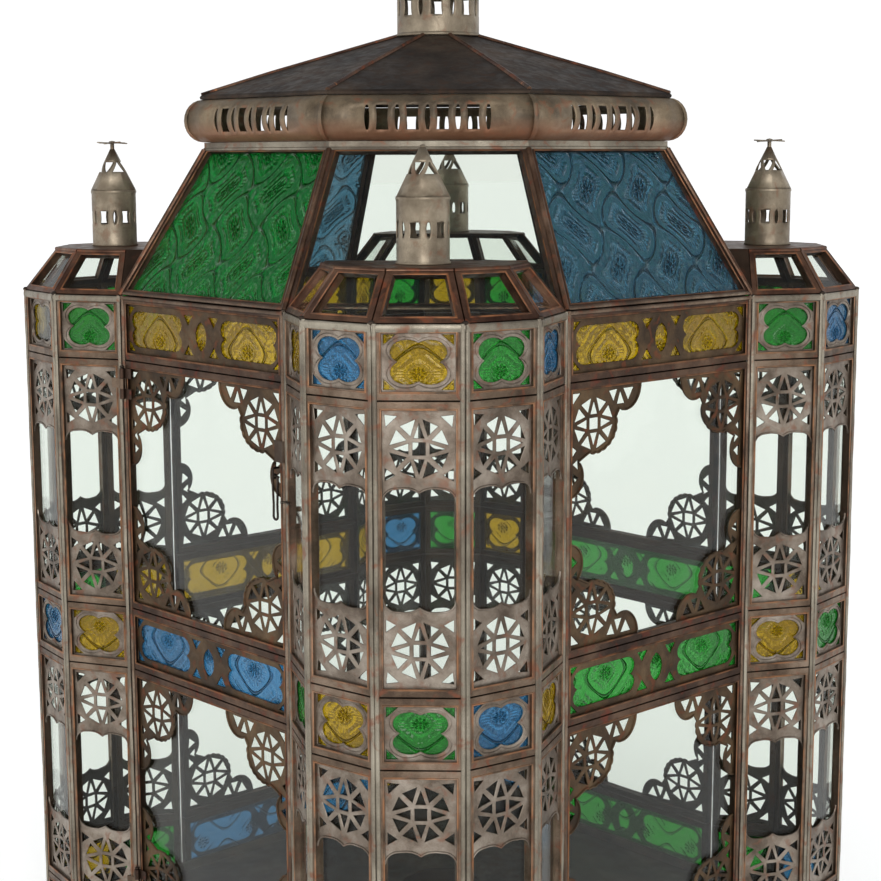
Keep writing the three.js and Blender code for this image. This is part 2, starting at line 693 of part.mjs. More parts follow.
// Walls: the door faces -Y, and the others follow anticlockwise from above
const walls = [
  { name: 'door', turn: 0, colors: ['green', 'blue', 'amber'] },
  { name: 'right', turn: 90, colors: ['blue', 'green', 'amber'] },
  { name: 'back', turn: 180, colors: ['green', 'green', 'amber'] },
  { name: 'left', turn: 270, colors: ['blue', 'amber', 'amber'] },
];
for (const { name, turn, colors } of walls) {
  const side = new THREE.Group();
  side.rotation.z = turn * deg;
  const isDoor = name === 'door';
  const width = wideFace - 2 * (isDoor ? doorGap : seat);
  let frame = wideWall(width);
  if (isDoor) frame = cut(joined([frame, ...hingeMiddles.flatMap(doorKnuckles)]), hingeMiddles.map(pinBore));
  addPiece(side, isDoor ? 'door_frame' : `${name}_wall_frame`, frame, patina);
  addWidePanes(side, isDoor ? 'door' : `${name}_wall`, width, colors);
  lantern.add(side);
}
hingeMiddles.forEach((middle, i) => {
  addPiece(lantern, ['hinge_pin_lower', 'hinge_pin_upper'][i], hingePinShape(middle), wire);
});
addPiece(lantern, 'latch_staple', staple(), wire);
addPiece(lantern, 'latch_loop', latchLoop(), wire);

// Bays stand on the corners, each turned from the door's direction
const bays = [
  { name: 'bay_front_left', turn: -45, star: true },
  { name: 'bay_front_right', turn: 45, star: false },
  { name: 'bay_back_right', turn: 135, star: true },
  { name: 'bay_back_left', turn: 225, star: true },
];
const plainBay = bayFrame();
const wallGlass = bayGlass();
const roofGlass = bayRoofGlass();
for (const { name, turn, star: withStar } of bays) {
  const corner = new THREE.Group();
  corner.rotation.z = turn * deg;
  const bay = new THREE.Group();
  bay.position.y = -bayCentre;
  const hinged = name === 'bay_front_left';
  const toBay = (piece) => piece.rotate([0, 0, -turn]).translate([0, bayCentre, 0]);
  const frame = hinged
    ? cut(joined([plainBay, ...hingeMiddles.map((z) => toBay(bayKnuckle(z)))]), hingeMiddles.map((z) =>
      toBay(pinBore(z))))
    : plainBay;
  addPiece(bay, `${name}_frame`, frame, patina);
  addPiece(bay, `${name}_glass`, wallGlass, clearGlass);
  addPiece(bay, `${name}_roof_glass`, roofGlass, clearGlass);
  const top = addPiece(bay, `${name}_finial`, finial(withStar), patina);
  top.position.set(0, -finialOut, bayTop + seat);
  if (name === 'bay_front_right') {
    const catchTurn = new THREE.Group();
    catchTurn.rotation.z = -2 * bayTurn * deg;
    addPiece(catchTurn, 'latch_catch', latchCatch(), wire);
    bay.add(catchTurn);
  }
  corner.add(bay);
  lantern.add(corner);
}

// Main roof with its eight panes, clear over the bays and coloured over the wide faces
addPiece(lantern, 'roof_frame', roofFrame(), patina);
const roofPanes = ['door_green', 'bay_front_right', 'right_blue', 'bay_back_right', 'back_green', 'bay_back_left',
  'left_blue', 'bay_front_left'];
roofFaces().forEach((face, i) => {
  const name = roofPanes[i];
  const color = paneColors[name.split('_').pop()] ?? clearGlass;
  addPiece(lantern, `roof_glass_${name}`, roofPane(face), color);
});

addPiece(lantern, 'vent_band', ventBand(), patina);
addPiece(lantern, 'vent_cap', ventCap(), darkPatina);
addPiece(lantern, 'crown', crown(), patina);
addPiece(lantern, 'hanging_ring', hangingRing(), wire);

export default lantern;
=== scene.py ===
"""A Moroccan lantern of patinated sheet, folded channel and pressed glass, dressed on its CAD frame."""

import bmesh
import bpy
import numpy as np
from mathutils import Matrix, Vector


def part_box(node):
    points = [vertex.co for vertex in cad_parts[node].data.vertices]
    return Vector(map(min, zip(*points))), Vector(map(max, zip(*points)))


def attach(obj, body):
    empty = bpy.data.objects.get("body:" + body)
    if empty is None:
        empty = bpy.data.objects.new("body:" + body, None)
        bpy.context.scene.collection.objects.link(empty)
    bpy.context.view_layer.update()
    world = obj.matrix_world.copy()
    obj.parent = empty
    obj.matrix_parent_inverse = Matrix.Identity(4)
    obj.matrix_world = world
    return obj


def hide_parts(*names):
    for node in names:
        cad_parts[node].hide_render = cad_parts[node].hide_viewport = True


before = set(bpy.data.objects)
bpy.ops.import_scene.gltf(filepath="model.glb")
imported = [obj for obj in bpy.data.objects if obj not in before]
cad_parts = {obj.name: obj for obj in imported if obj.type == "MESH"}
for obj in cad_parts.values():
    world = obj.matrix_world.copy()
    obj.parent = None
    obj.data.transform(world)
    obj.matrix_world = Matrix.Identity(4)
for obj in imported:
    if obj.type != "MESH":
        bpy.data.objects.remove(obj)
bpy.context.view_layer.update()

# Floor pan: a brass sheet cut to the lantern's outline, with an upstand soldered inside the walls.
# It was left to darken, so it is nearly black brown with dull rubbed places.


def linear(code):
    """An sRGB hex colour as linear red, green and blue with a full alpha."""
    srgb = np.array([int(code[i:i + 2], 16) for i in (1, 3, 5)]) / 255
    return (*np.where(srgb <= 0.04045, srgb / 12.92, ((srgb + 0.055) / 1.055) ** 2.4), 1.0)


def feed(tree, node, links):
    """For each named input of a node a value, or the node or socket whose result goes there."""
    for key, value in links.items():
        socket = next(s for s in node.inputs if s.enabled and key in (s.name, s.identifier))
        if isinstance(value, bpy.types.Node):
            value = next(s for s in value.outputs if s.enabled)
        if isinstance(value, bpy.types.NodeSocket):
            tree.links.new(value, socket)
        else:
            socket.default_value = value


def add(tree, kind, links=None, stops=(), **settings):
    """A shader node with its settings, its ramp's stops and what feeds its inputs."""
    made = tree.nodes.new("ShaderNode" + kind)
    for key, value in settings.items():
        setattr(made, key, value)
    feed(tree, made, links or {})
    for place, (position, colour) in enumerate(stops):
        element = made.color_ramp.elements[place] if place < 2 else made.color_ramp.elements.new(position)
        element.position, element.color = position, colour
    return made


def new_material(name):
    """An empty material with its tree of nodes and its shader."""
    material = bpy.data.materials.new(name)
    material.use_nodes = True
    return material, material.node_tree, material.node_tree.nodes["Principled BSDF"]


def aged_metal(name, tones, rust, spots=0.5, rough=(0.38, 0.62), metallic=0.8, cloud=36, dents=0.5, soot_and_shade=0.8,
               way="Object", drawn=(1, 1, 1)):
    """Old sheet metal. Clouds of the given size in millimetres and mottling of 3 mm pick one of three
    tones: dark, bright and between. A drawn way below 1 stretches the mottling to streaks. Rust spots lie
    about 8 mm apart over a tooth of 1 mm. What faces the candle, where turned_away is below 0, is painted
    dark brown: partly soot, partly painted shade of the lantern's inside and undersides."""
    patch, speck, grit, clouded = 8, 3, 1.1, 0.55
    material, tree, shader = new_material(name)
    coordinates = add(tree, "TexCoord").outputs
    place = coordinates["Object"]
    clouds = add(tree, "TexNoise", {"Vector": place, "Scale": 1000 / cloud, "Detail": 6.0, "Roughness": 0.62})
    patches = add(tree, "TexNoise", {"Vector": place, "Scale": 1000 / patch, "Detail": 4.0,
                                     "Distortion": 0.6})
    tooth = add(tree, "TexNoise", {"Vector": place, "Scale": 1000 / grit, "Detail": 2.0})
    stretched = add(tree, "Mapping", {"Vector": coordinates[way], "Scale": drawn})
    shift = add(tree, "Math", {"Value": clouds, "Value_001": 6.0}, operation="MULTIPLY")
    streaks = add(tree, "TexNoise", {"Vector": stretched, "W": shift, "Scale": 1000 / speck, "Detail": 3.0,
                                     "Roughness": 0.6}, noise_dimensions="4D")
    shared = add(tree, "Math", {"Value": clouds, "Value_001": clouded}, operation="MULTIPLY")
    mottle = add(tree, "Math", {"Value": streaks, "Value_001": 1 - clouded, "Value_002": shared},
                 operation="MULTIPLY_ADD")
    dark, bright, between = (linear(code) for code in tones)
    tone = add(tree, "ValToRGB", {"Fac": mottle}, [(0.4, dark), (0.61, bright), (0.5, between)])
    spotted = add(tree, "MapRange", {"Value": patches, "From Min": 0.56, "From Max": 0.7, "To Max": spots})
    stained = add(tree, "Mix", {"Factor": spotted, "A": tone, "B": linear(rust)}, data_type="RGBA")
    # Faces turned inwards or downwards are painted dark brown: soot, and painted shade of the lantern's
    # inside and undersides
    away = add(tree, "Attribute", attribute_name="turned_away").outputs["Fac"]
    soot_and_shade_mask = add(tree, "MapRange", {"Value": away, "From Min": -0.002, "From Max": -0.03, "To Max": soot_and_shade})
    colour = add(tree, "Mix", {"Factor": soot_and_shade_mask, "A": stained, "B": linear("#2b2017")}, data_type="RGBA")
    finish = add(tree, "MapRange", {"Value": patches, "From Min": 0.35, "From Max": 0.65, "To Min": rough[0],
                                    "To Max": rough[1]})
    worn = add(tree, "Bump", {"Height": clouds, "Strength": dents, "Distance": 0.0012})
    bump = add(tree, "Bump", {"Height": tooth, "Strength": 0.35, "Distance": 0.0002, "Normal": worn})
    feed(tree, shader, {"Base Color": colour, "Roughness": finish, "Normal": bump, "Metallic": metallic})
    return material


# Blackened brass sheet: soot and oxide leave only a low brown gloss
dark_sheet = aged_metal("blackened_brass_sheet", ("#241d18", "#54463a", "#3a2f27"), "#5c3a26", 0.35,
                        (0.5, 0.7), 0.7)
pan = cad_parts["floor_pan"]
pan.data.materials.clear()
pan.data.materials.append(dark_sheet)

# Candle dish: a spun dish with a rolled rim and an upright ring that holds the candle. It stands on
# the middle of the floor pan and is of the same blackened sheet.


def quads(points, uv=None, round_rows=False, round_columns=False, keep=None):
    """Four-cornered faces over a grid of points, joined where it goes round, with only the kept cells."""
    rows, columns = points.shape[:2]
    down, along = np.meshgrid(np.arange(rows if round_rows else rows - 1),
                              np.arange(columns if round_columns else columns - 1), indexing="ij")
    if keep is not None:
        down, along = down[keep], along[keep]
    turn = ((0, 0), (0, 1), (1, 1), (1, 0))
    faces = np.stack([(down + a) % rows * columns + (along + b) % columns for a, b in turn], -1)
    faces = faces.reshape(-1, 4)
    if uv is None:
        corners = np.zeros((len(faces), 4, 2))
    else:
        corners = np.stack([uv[down + a, along + b] for a, b in turn], -2).reshape(-1, 4, 2)
    return points.reshape(-1, 3), [(faces, corners)]


def capped(part, count):
    """A round-columned part closed by one face on its first ring of that many corners and one on its last."""
    points, cells = part
    ring = np.arange(count)
    ends = np.stack([ring[::-1], len(points) - count + ring])
    return points, [*cells, (ends, np.zeros((2, count, 2)))]


def turned(section, sides=48, about=(0, 0)):
    """A section of (radius, height) pairs turned about an upright axis and closed at both ends."""
    radius, height = np.asarray(section, float).T
    angle = 2 * np.pi * np.arange(sides) / sides
    points = np.stack([about[0] + radius[:, None] * np.cos(angle), about[1] + radius[:, None] * np.sin(angle),
                       np.repeat(height[:, None], sides, 1)], -1)
    return capped(quads(points, round_columns=True), sides)


def arc(x, y, across, up, start, end, steps):
    """Points on an ellipse's arc in degrees, both ends included."""
    angle = np.radians(np.linspace(start, end, steps + 1))
    return np.stack([x + across * np.cos(angle), y + up * np.sin(angle)], -1)


def piece(name, parts, material, node, body="lantern", bend=32):
    """One object from its parts' points and faces, given in millimetres in place, that stands for a CAD
    node and rides a CAD body. Each face keeps turned_away: the dot product of its way out and of the way
    to it from the middle of the lantern's foot."""
    mesh = bpy.data.meshes.new(name)
    starts = np.cumsum([0] + [len(points) for points, _ in parts])
    cells = [(faces + start, corners) for (_, group), start in zip(parts, starts) for faces, corners in group]
    sizes = np.concatenate([np.full(len(faces), faces.shape[1]) for faces, _ in cells])
    corners = np.concatenate([faces.ravel() for faces, _ in cells])
    mesh.vertices.add(starts[-1])
    mesh.loops.add(len(corners))
    mesh.polygons.add(len(sizes))
    mesh.vertices.foreach_set("co", np.concatenate([points for points, _ in parts]).ravel() / 1000)
    mesh.loops.foreach_set("vertex_index", corners.astype(np.int32))
    mesh.polygons.foreach_set("loop_start", np.concatenate([[0], np.cumsum(sizes)[:-1]]).astype(np.int32))
    uv = np.concatenate([uv.reshape(-1, 2) for _, uv in cells]) / 1000
    mesh.uv_layers.new(name="UVMap").uv.foreach_set("vector", uv.astype(np.float32).ravel())
    mesh.update(calc_edges=True)
    mesh.validate()
    facing, middle = np.zeros((2, 3 * len(mesh.polygons)), np.float32)
    mesh.polygons.foreach_get("normal", facing)
    mesh.polygons.foreach_get("center", middle)
    away = (facing * middle).reshape(-1, 3).sum(1)
    mesh.attributes.new("turned_away", "FLOAT", "FACE").data.foreach_set("value", away)
    mesh.shade_smooth()
    mesh.set_sharp_from_angle(angle=np.radians(bend))
    mesh.materials.append(material)
    made = bpy.data.objects.new(name, mesh)
    bpy.context.scene.collection.objects.link(made)
    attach(made, body)
    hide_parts(node)
    return made


dish_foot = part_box("candle_dish")[0].z * 1000
dish_radius, dish_rim, socket_radius, socket_top = 46, 12, 31, 26
dish_section = [(0.5, 0), (dish_radius - 7, 0), (dish_radius - 4.5, 1.2), (dish_radius - 1, dish_rim - 2),
                *arc(dish_radius - 1.2, dish_rim - 1.2, 1.2, 1.2, 0, 200, 6), (dish_radius - 6, 2.4),
                (dish_radius - 8, 1.6), (socket_radius + 2.6, 1.6), (socket_radius + 1.6, 2.4),
                *arc(socket_radius + 0.7, socket_top - 1.1, 1.1, 1.1, 0, 180, 6), (socket_radius, 2.2),
                (socket_radius - 1.2, 1.6), (0.5, 1.6)]
candle_dish = turned([(r, z + dish_foot) for r, z in dish_section], 56)
piece("candle_dish_spun", [candle_dish], dark_sheet, "candle_dish")

# Wall channels: every pane sits in its own frame of brass strip folded to a channel, mitred at the
# corners and soldered to its neighbours. The flat is brown, the folded lip is rubbed to copper and a
# dark seam is left between two frames.


def drawn_in(corners, distance):
    """A ring of corners, anticlockwise, with its sides pushed inwards by one distance or one for each."""
    sides = np.roll(corners, -1, 0) - corners
    out = np.stack([-sides[:, 1], sides[:, 0]], -1) / np.linalg.norm(sides, axis=1)[:, None]
    reach = (out * corners).sum(1) + distance
    before, reach_before = np.roll(out, 1, 0), np.roll(reach, 1)
    area = before[:, 0] * out[:, 1] - before[:, 1] * out[:, 0]
    return np.stack([(reach_before * out[:, 1] - reach * before[:, 1]) / area,
                     (before[:, 0] * reach - out[:, 0] * reach_before) / area], -1)


def channel(corners, section, step=15.0, lean=0.0):
    """A closed section of (inwards, outwards) pairs carried round flat corners: each pair gives a ring
    drawn in by the first and raised by the second. The map holds the length along and the way across.
    A side with a lean goes inwards by that much more for each millimetre behind its face."""
    corners, section, lean = (np.asarray(given, float) for given in (corners, section, lean))
    rings = np.stack([drawn_in(corners, inwards - min(out, 0) * lean) for inwards, out in section])
    ahead = np.roll(rings, -1, 1) - rings
    steps = max(2, int(np.linalg.norm(np.roll(corners, -1, 0) - corners, axis=1).max() / step))
    share = np.arange(steps) / steps
    flat = (rings[:, :, None] + ahead[:, :, None] * share[:, None]).reshape(len(section), -1, 2)
    points = np.dstack([flat, np.repeat(section[:, 1:], flat.shape[1], 1)])
    across = np.concatenate([[0], np.cumsum(np.linalg.norm(np.roll(section, -1, 0) - section, axis=1))])
    length = np.concatenate([[0], np.cumsum(np.linalg.norm(np.roll(flat[0], -1, 0) - flat[0], axis=1))])
    uv = np.dstack(np.meshgrid(length, across))
    return quads(points, uv, round_rows=True, round_columns=True)


def face_frame(turn, reach, centre=(0, 0)):
    """Where a face starts and its directions: along it, up it and out of it, for an upright face."""
    out = np.array([np.sin(turn), -np.cos(turn), 0])
    return np.array([[*centre, 0] + out * reach, [np.cos(turn), np.sin(turn), 0], [0, 0, 1], out])


def onto(faces, parts):
    """Parts drawn as (along, up, out), each put on each of the faces."""
    return [(face[0] + points @ face[1:], cells) for face in faces for points, cells in parts]


def rectangle(x0, x1, z0, z1):
    """Four corners, anticlockwise as seen from outside."""
    return np.array([[x0, z0], [x1, z0], [x1, z1], [x0, z1]], float)


def across_tint(material, stops):
    """Colours laid over a folded strip: each rises, holds and fades between four distances across it in
    millimetres, by its weight and in patches about 14 mm wide, where it was rubbed."""
    tree = material.node_tree
    shader = tree.nodes["Principled BSDF"]
    under = shader.inputs["Base Color"].links[0].from_socket
    way = add(tree, "SeparateXYZ", {"Vector": add(tree, "TexCoord").outputs["UV"]}).outputs["Y"]
    for start, full, fade, end, colour, weight in stops:
        rise = add(tree, "MapRange", {"Value": way, "From Min": start / 1000, "From Max": full / 1000})
        fall = add(tree, "MapRange", {"Value": way, "From Min": end / 1000, "From Max": fade / 1000})
        both = add(tree, "Math", {"Value": rise, "Value_001": fall}, operation="MULTIPLY")
        rubbed = add(tree, "TexNoise", {"Vector": add(tree, "TexCoord").outputs["Object"], "Scale": 1000 / 14,
                                        "Detail": 3.0})
        patchy = add(tree, "MapRange", {"Value": rubbed, "From Min": 0.38, "From Max": 0.6, "To Max": weight})
        factor = add(tree, "Math", {"Value": both, "Value_001": patchy}, operation="MULTIPLY")
        under = add(tree, "Mix", {"Factor": factor, "A": under, "B": linear(colour)}, data_type="RGBA")
    feed(tree, shader, {"Base Color": under})
    return material


deg = np.pi / 180
bay_face, wide_face, band_row, window_row, came = 55.0, 187.0, 45.5, 180.0, 5.6
bay_step = 36
bay_round = bay_face / (2 * np.sin(bay_step / 2 * deg))
bay_depth = bay_face / (2 * np.tan(bay_step / 2 * deg))
wall_reach = wide_face / 2 + bay_round * np.sqrt(2)
bay_reach = wide_face * np.sqrt(0.5) + bay_round
wall_foot, eave = (corner.z * 1000 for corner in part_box("right_wall_frame"))
row_heights = np.array([band_row, window_row, band_row, window_row, band_row])
row_feet = wall_foot + np.concatenate([[0], np.cumsum(row_heights)[:-1]])
rows = list(zip(row_feet, row_feet + row_heights))

# Each wall: its face, half its width without the gap at its edge, and the body that it rides on. Solder
# fills the joint gap here and under the roof, the vent band, the crown and the finials.
door_gap, joint_gap = 0.8, 0.3
walls = {name: (face_frame(turn * deg, wall_reach), wide_face / 2 - gap, body) for name, turn, gap, body in (
    ("door", 0, door_gap, "door"), ("right_wall", 90, joint_gap, "lantern"),
    ("back_wall", 180, joint_gap, "lantern"), ("left_wall", 270, joint_gap, "lantern"))}
seam, channel_depth, fold = 0.2, 6.5, 0.7


def channel_section(width):
    """Across a channel: web, flat, rolled lip and back."""
    return [(seam, -channel_depth), (seam, -fold), (seam + fold / 2, 0), (width / 2, 0.1),
            (width - 1.1, 0.05), (width - 0.8, 0.4), (width - 0.3, 0.45), (width + 0.05, 0.1),
            (width - 0.1, -0.6), (width - 0.5, -1.4), (width - 0.5, -channel_depth + 0.5),
            (width - 0.9, -channel_depth)]


def folded_channel(name, tones, rust, spots, rough, metallic, cloud, copper, rubbed,
                   lip=(4.2, 4.9, 5.8, 6.6)):
    """A channel's metal, streaked along the strip. The web is black where the next channel meets it, and
    copper shows on the lip, which starts, is full, fades and ends at those distances past the web."""
    metal = aged_metal(name, tones, rust, spots, rough, metallic, cloud, way="UV", drawn=(0.22, 1, 1))
    web = channel_depth - fold
    seam_black = (0.0, 0.1, web - 0.2, web + 0.7, "#120d0a", 0.9)
    return across_tint(metal, [seam_black, (*(web + across for across in lip), copper, rubbed)])


# Folded brass strip: red-brown patina, duller copper where cloths rub the lip, black in the seam
wall_channel = folded_channel("browned_wall_channel", ("#291c15", "#67503f", "#47352a"), "#70382a", 0.7,
                              (0.4, 0.62), 0.8, 42, "#a06c47", 0.5)
for name, (face, half, body) in walls.items():
    frames = [channel(rectangle(-half, half, low, high), channel_section(came)) for low, high in rows]
    piece(f"{name}_channels", onto([face], frames), wall_channel, f"{name}_frame", body)

# Wall posts: a bead of solder and half round strip runs up the edge of every face, over all its
# frames, and another closes each wall under the eave. They are tinned, so they show grey.


def ridge(x, low, high, width, height, seed, level=False):
    """A half round strip: an arch across, raised a little up and down its length by slow waves."""
    turn = np.linspace(0, np.pi, 8)
    arch = np.stack([-width / 2 * np.cos(turn), height * np.sin(turn)], -1)
    arch = np.concatenate([[[-width / 2, -0.4]], arch, [[width / 2, -0.4]]])
    way = np.linspace(low, high, max(3, int((high - low) / 6)))
    phase = np.random.default_rng(seed + 1).uniform(0, 2 * np.pi, 4)
    wave = sum(np.sin(way / length + shift) for length, shift in zip((3.1, 7.3, 17.0, 29.0), phase)) / 4
    wander = np.sin(way / 37.0 + phase[0]) * 0.12
    side = x + arch[None, :, 0] * (1 + 0.08 * wave[:, None]) + wander[:, None]
    rise = np.where(arch[:, 1] > 0, arch[:, 1], 0) * (1 + 0.28 * wave[:, None]) + np.minimum(arch[:, 1], 0)
    run = np.repeat(way[:, None], len(arch), 1)
    points = np.stack([side, run, rise], -1)
    if level:
        points = np.stack([run, side, rise], -1)[:, ::-1]
    return capped(quads(points, round_columns=True), len(arch))


# Tinned strip and solder: dull grey where it is thick, and brown where it was wiped thin on the walls
solder = aged_metal("tinned_solder", ("#564d42", "#9f9787", "#7d7567"), "#7d513c", 0.75, (0.3, 0.52), 0.7, 60,
                    0.7, drawn=(1, 1, 0.25))
wiped_solder = aged_metal("wiped_solder", ("#3f3228", "#9a8c7b", "#6b5747"), "#7a4632", 0.8, (0.32, 0.55),
                          0.8, 48, drawn=(1, 1, 0.25))
post_width, post_height = 2.9, 1.0


def face_beads(half, seed, head=(post_width, post_height, post_width / 2, 5)):
    """The beads of one face: one up each edge, and one along its head, which has its own width, height
    and drop below the eave. The last number tells its solder's unevenness from that of the edges."""
    width, height, drop, step = head
    reach = half - seam - post_width / 2
    edges = [ridge(side * reach, wall_foot, eave, post_width, post_height, seed + side) for side in (-1, 1)]
    return [*edges, ridge(eave - seam - drop, -half, half, width, height, seed + step, True)]


for number, (name, (face, half, body)) in enumerate(walls.items()):
    piece(f"{name}_posts", onto([face], face_beads(half, 10 * number)), wiped_solder, f"{name}_frame", body)

# Wall plates: pierced brass sheet slipped into the channels in front of the glass. The narrow ones
# leave two long openings with a lens between them. The wide windows have a lobed corner piece in each
# corner, cut into triangles round a square eye, with a roped wire soldered along its edge.


def pierced(outlines, out, thickness=0.8, edge=0.22):
    """Flat sheet: the first outline is its edge, the others are cut through it, and every edge is eased."""
    curve = bpy.data.curves.new("flat_sheet", "CURVE")
    curve.dimensions, curve.fill_mode = "2D", "BOTH"
    curve.extrude, curve.bevel_depth = thickness / 2 - edge, edge
    curve.bevel_resolution, curve.offset = 0, -edge
    for outline in outlines:
        spline = curve.splines.new("POLY")
        spline.points.add(len(outline) - 1)
        flat = np.c_[outline, np.zeros(len(outline)), np.ones(len(outline))]
        spline.points.foreach_set("co", flat.ravel())
        spline.use_cyclic_u = True
    carrier = bpy.data.objects.new("flat_sheet", curve)
    bpy.context.scene.collection.objects.link(carrier)
    bpy.context.view_layer.update()
    mesh = bpy.data.meshes.new_from_object(carrier.evaluated_get(bpy.context.evaluated_depsgraph_get()))
    shell = bmesh.new()
    shell.from_mesh(mesh)
    bmesh.ops.remove_doubles(shell, verts=shell.verts, dist=0.002)
    bmesh.ops.triangulate(shell, faces=shell.faces)
    bmesh.ops.recalc_face_normals(shell, faces=shell.faces)
    shell.to_mesh(mesh)
    shell.free()
    points = np.empty((len(mesh.vertices), 3))
    mesh.vertices.foreach_get("co", points.ravel())
    corners = np.empty(len(mesh.loops), np.int32)
    mesh.loops.foreach_get("vertex_index", corners)
    bpy.data.objects.remove(carrier)
    bpy.data.curves.remove(curve)
    bpy.data.meshes.remove(mesh)
    points[:, 2] += out - thickness / 2
    return points, [(corners.reshape(-1, 3), points[corners, :2].reshape(-1, 3, 2))]


def wire(path, radius, up, closed=False, sides=6):
    """Round wire: at each point of a path a ring lies across the way ahead, level with the given side."""
    path = np.asarray(path, float)
    ahead = np.roll(path, -1, 0) - np.roll(path, 1, 0) if closed else np.gradient(path, axis=0)
    ahead /= np.linalg.norm(ahead, axis=1)[:, None]
    side = np.cross(np.broadcast_to(up, path.shape), ahead)
    side /= np.linalg.norm(side, axis=1)[:, None]
    over = np.cross(ahead, side)
    angle = 2 * np.pi * np.arange(sides) / sides
    ring = np.cos(angle)[:, None] * side[:, None] + np.sin(angle)[:, None] * over[:, None]
    length = np.concatenate([[0], np.cumsum(np.linalg.norm(np.roll(path, -1, 0) - path, axis=1))])
    uv = np.dstack(np.meshgrid(np.arange(sides + 1) * 2 * np.pi * radius / sides, length))
    part = quads(path[:, None] + radius * ring, uv, round_rows=closed, round_columns=True)
    return part if closed else capped(part, sides)


def moved(outline, x, z):
    """An outline carried along and up."""
    return np.asarray(outline, float) + (x, z)


def quarter_turns(outline):
    """The outline and its three quarter turns about the middle."""
    turns = ((1, 0), (0, 1), (-1, 0), (0, -1))
    return [np.asarray(outline, float) @ np.array([[c, s], [-s, c]]) for c, s in turns]


def star_holes(x, z, wide=1.0, tall=1.0):
    """A square eye, four triangles that point away from its sides, and eight more round them that point
    inwards from the star's rim."""
    eye, rim, tip = 3.9, 17.9, 15.6
    square = rectangle(-eye, eye, -eye, eye)
    ray = [(6.5, -3.2), (tip, 0), (6.5, 3.2)]
    outer = [*arc(0, 0, rim, rim, 7.5, 40, 1), (9.3 * np.cos(34 * deg), 9.3 * np.sin(34 * deg))]
    other = np.array(outer)[::-1] * (1, -1)
    holes = [square, *quarter_turns(ray), *quarter_turns(outer), *quarter_turns(other)]
    return [moved(hole * (wide, tall), x, z) for hole in holes]


def four_ways(quarter):
    """An outline from its first quarter, which runs from the right end to the top."""
    right = np.asarray(quarter, float)
    left = right * (-1, 1)
    return np.concatenate([right[:-1], left[:0:-1], -right[:-1], -left[:0:-1]])


# One long opening: straight above and below, with two lobes and a point between them at each end. The
# lens is between two of them, with four triangles round it and one more in each corner of the plate.
cartouche = four_ways([*arc(21.6, 5.7, 8.6, 6.8, -57, 90, 8), (0, 12.5)])
cartouche_x = wide_face / 2 - 11 - 30
lens = four_ways(arc(-4.6, 0, 10.8, 10.8, 0, 64.8, 7))
beside_lens = [(9.2, 13.4), (19.6, 13.4), (14.6, 6.4)]
corner_cut = [(87.0, 15.4), (79.0, 15.4), (87.0, 7.6)]
mirrors = [(1, 1), (-1, 1), (-1, -1), (1, -1)]
plate_lap = came - 1.0


def band_outlines(half, height):
    """The narrow plate of a wide wall about its own middle."""
    edge = rectangle(-half + plate_lap, half - plate_lap, -height / 2 + plate_lap, height / 2 - plate_lap)
    corners = [np.array(cut) * mirror for cut in (beside_lens, corner_cut) for mirror in mirrors]
    return [edge, moved(cartouche, -cartouche_x, 0), moved(cartouche, cartouche_x, 0), lens, *corners]


def scalloped(outline, depth=0.8, pitch=5.4):
    """An outline whose edge bulges out by the depth, in half waves of a sine as long as the pitch."""
    steps = np.linalg.norm(np.diff(outline, axis=0), axis=1)
    way = np.concatenate([[0], np.cumsum(steps)])
    ahead = np.gradient(outline, axis=0)
    ahead /= np.linalg.norm(ahead, axis=1)[:, None]
    bulge = np.abs(np.sin(np.pi * way / pitch)) * depth
    return outline + np.stack([ahead[:, 1], -ahead[:, 0]], -1) * bulge[:, None]


# A window's corner piece from the inner edge of its channels, x to the right and y downwards: three
# lobes, the middle one scalloped, round a star with small triangles in the two arms
middle_lobe = scalloped(arc(22.8, 24, 20.5, 17.6, -12, 105, 60))
corner_edge = np.concatenate([arc(52.5, 0, 14.5, 16.5, 0, 115, 14), middle_lobe,
                              arc(0, 56, 12, 13, -50, 90, 14)])
corner_outline = np.concatenate([[(-1, -1), (67, -1)], corner_edge, [(-1, 69)]])
corner_holes = [*star_holes(22.2, 22.8, 1.02, 0.94),
                [(36.8, 3.0), (44.6, 2.4), (41.2, 10.2)], [(47.4, 3.8), (51.6, 12.2), (44.4, 12.2)],
                [(50.6, 2.4), (60.4, 2.4), (55.4, 10.6)], [(1.6, 2.2), (9.4, 2.2), (2.6, 9.0)],
                [(1.6, 35.6), (6.2, 39.0), (1.6, 43.6)], [(7.8, 44.6), (2.8, 47.6), (7.8, 51.4)],
                [(1.6, 52.8), (8.0, 56.6), (2.6, 61.4)]]

# Pierced brass sheet: on the walls dark and red-brown, with rust spots of dull copper
wall_plate = aged_metal("browned_wall_sheet", ("#2d2217", "#68533a", "#483725"), "#743f28", 0.6, (0.4, 0.62),
                        0.74, 30)
plate_out, rope_radius = -1.9, 0.75
for name, (face, half, body) in walls.items():
    parts = []
    for row, (low, high) in enumerate(rows):
        if row % 2 == 0:
            band = [moved(outline, 0, (low + high) / 2) for outline in band_outlines(half, high - low)]
            parts.append(pierced(band, plate_out))
            continue
        for x_way, z_way in mirrors:
            origin = np.array([-x_way * (half - came), high - came if z_way < 0 else low + came])
            place = [origin + np.asarray(o) * (x_way, z_way) for o in (corner_outline, *corner_holes)]
            parts.append(pierced(place, plate_out))
            rope = origin + corner_edge * (x_way, z_way)
            parts.append(wire(np.c_[rope, np.full(len(rope), plate_out + 0.15)], rope_radius, (0, 0, 1)))
    piece(f"{name}_plates", onto([face], parts), wall_plate, f"{name}_frame", body)

# Wall panes: rolled sheet glass. The windows are clear and a little wavy. The bands are pressed with
# a trellis of leaves and flowers, and dyed in the melt, so the colour is even through the thickness.


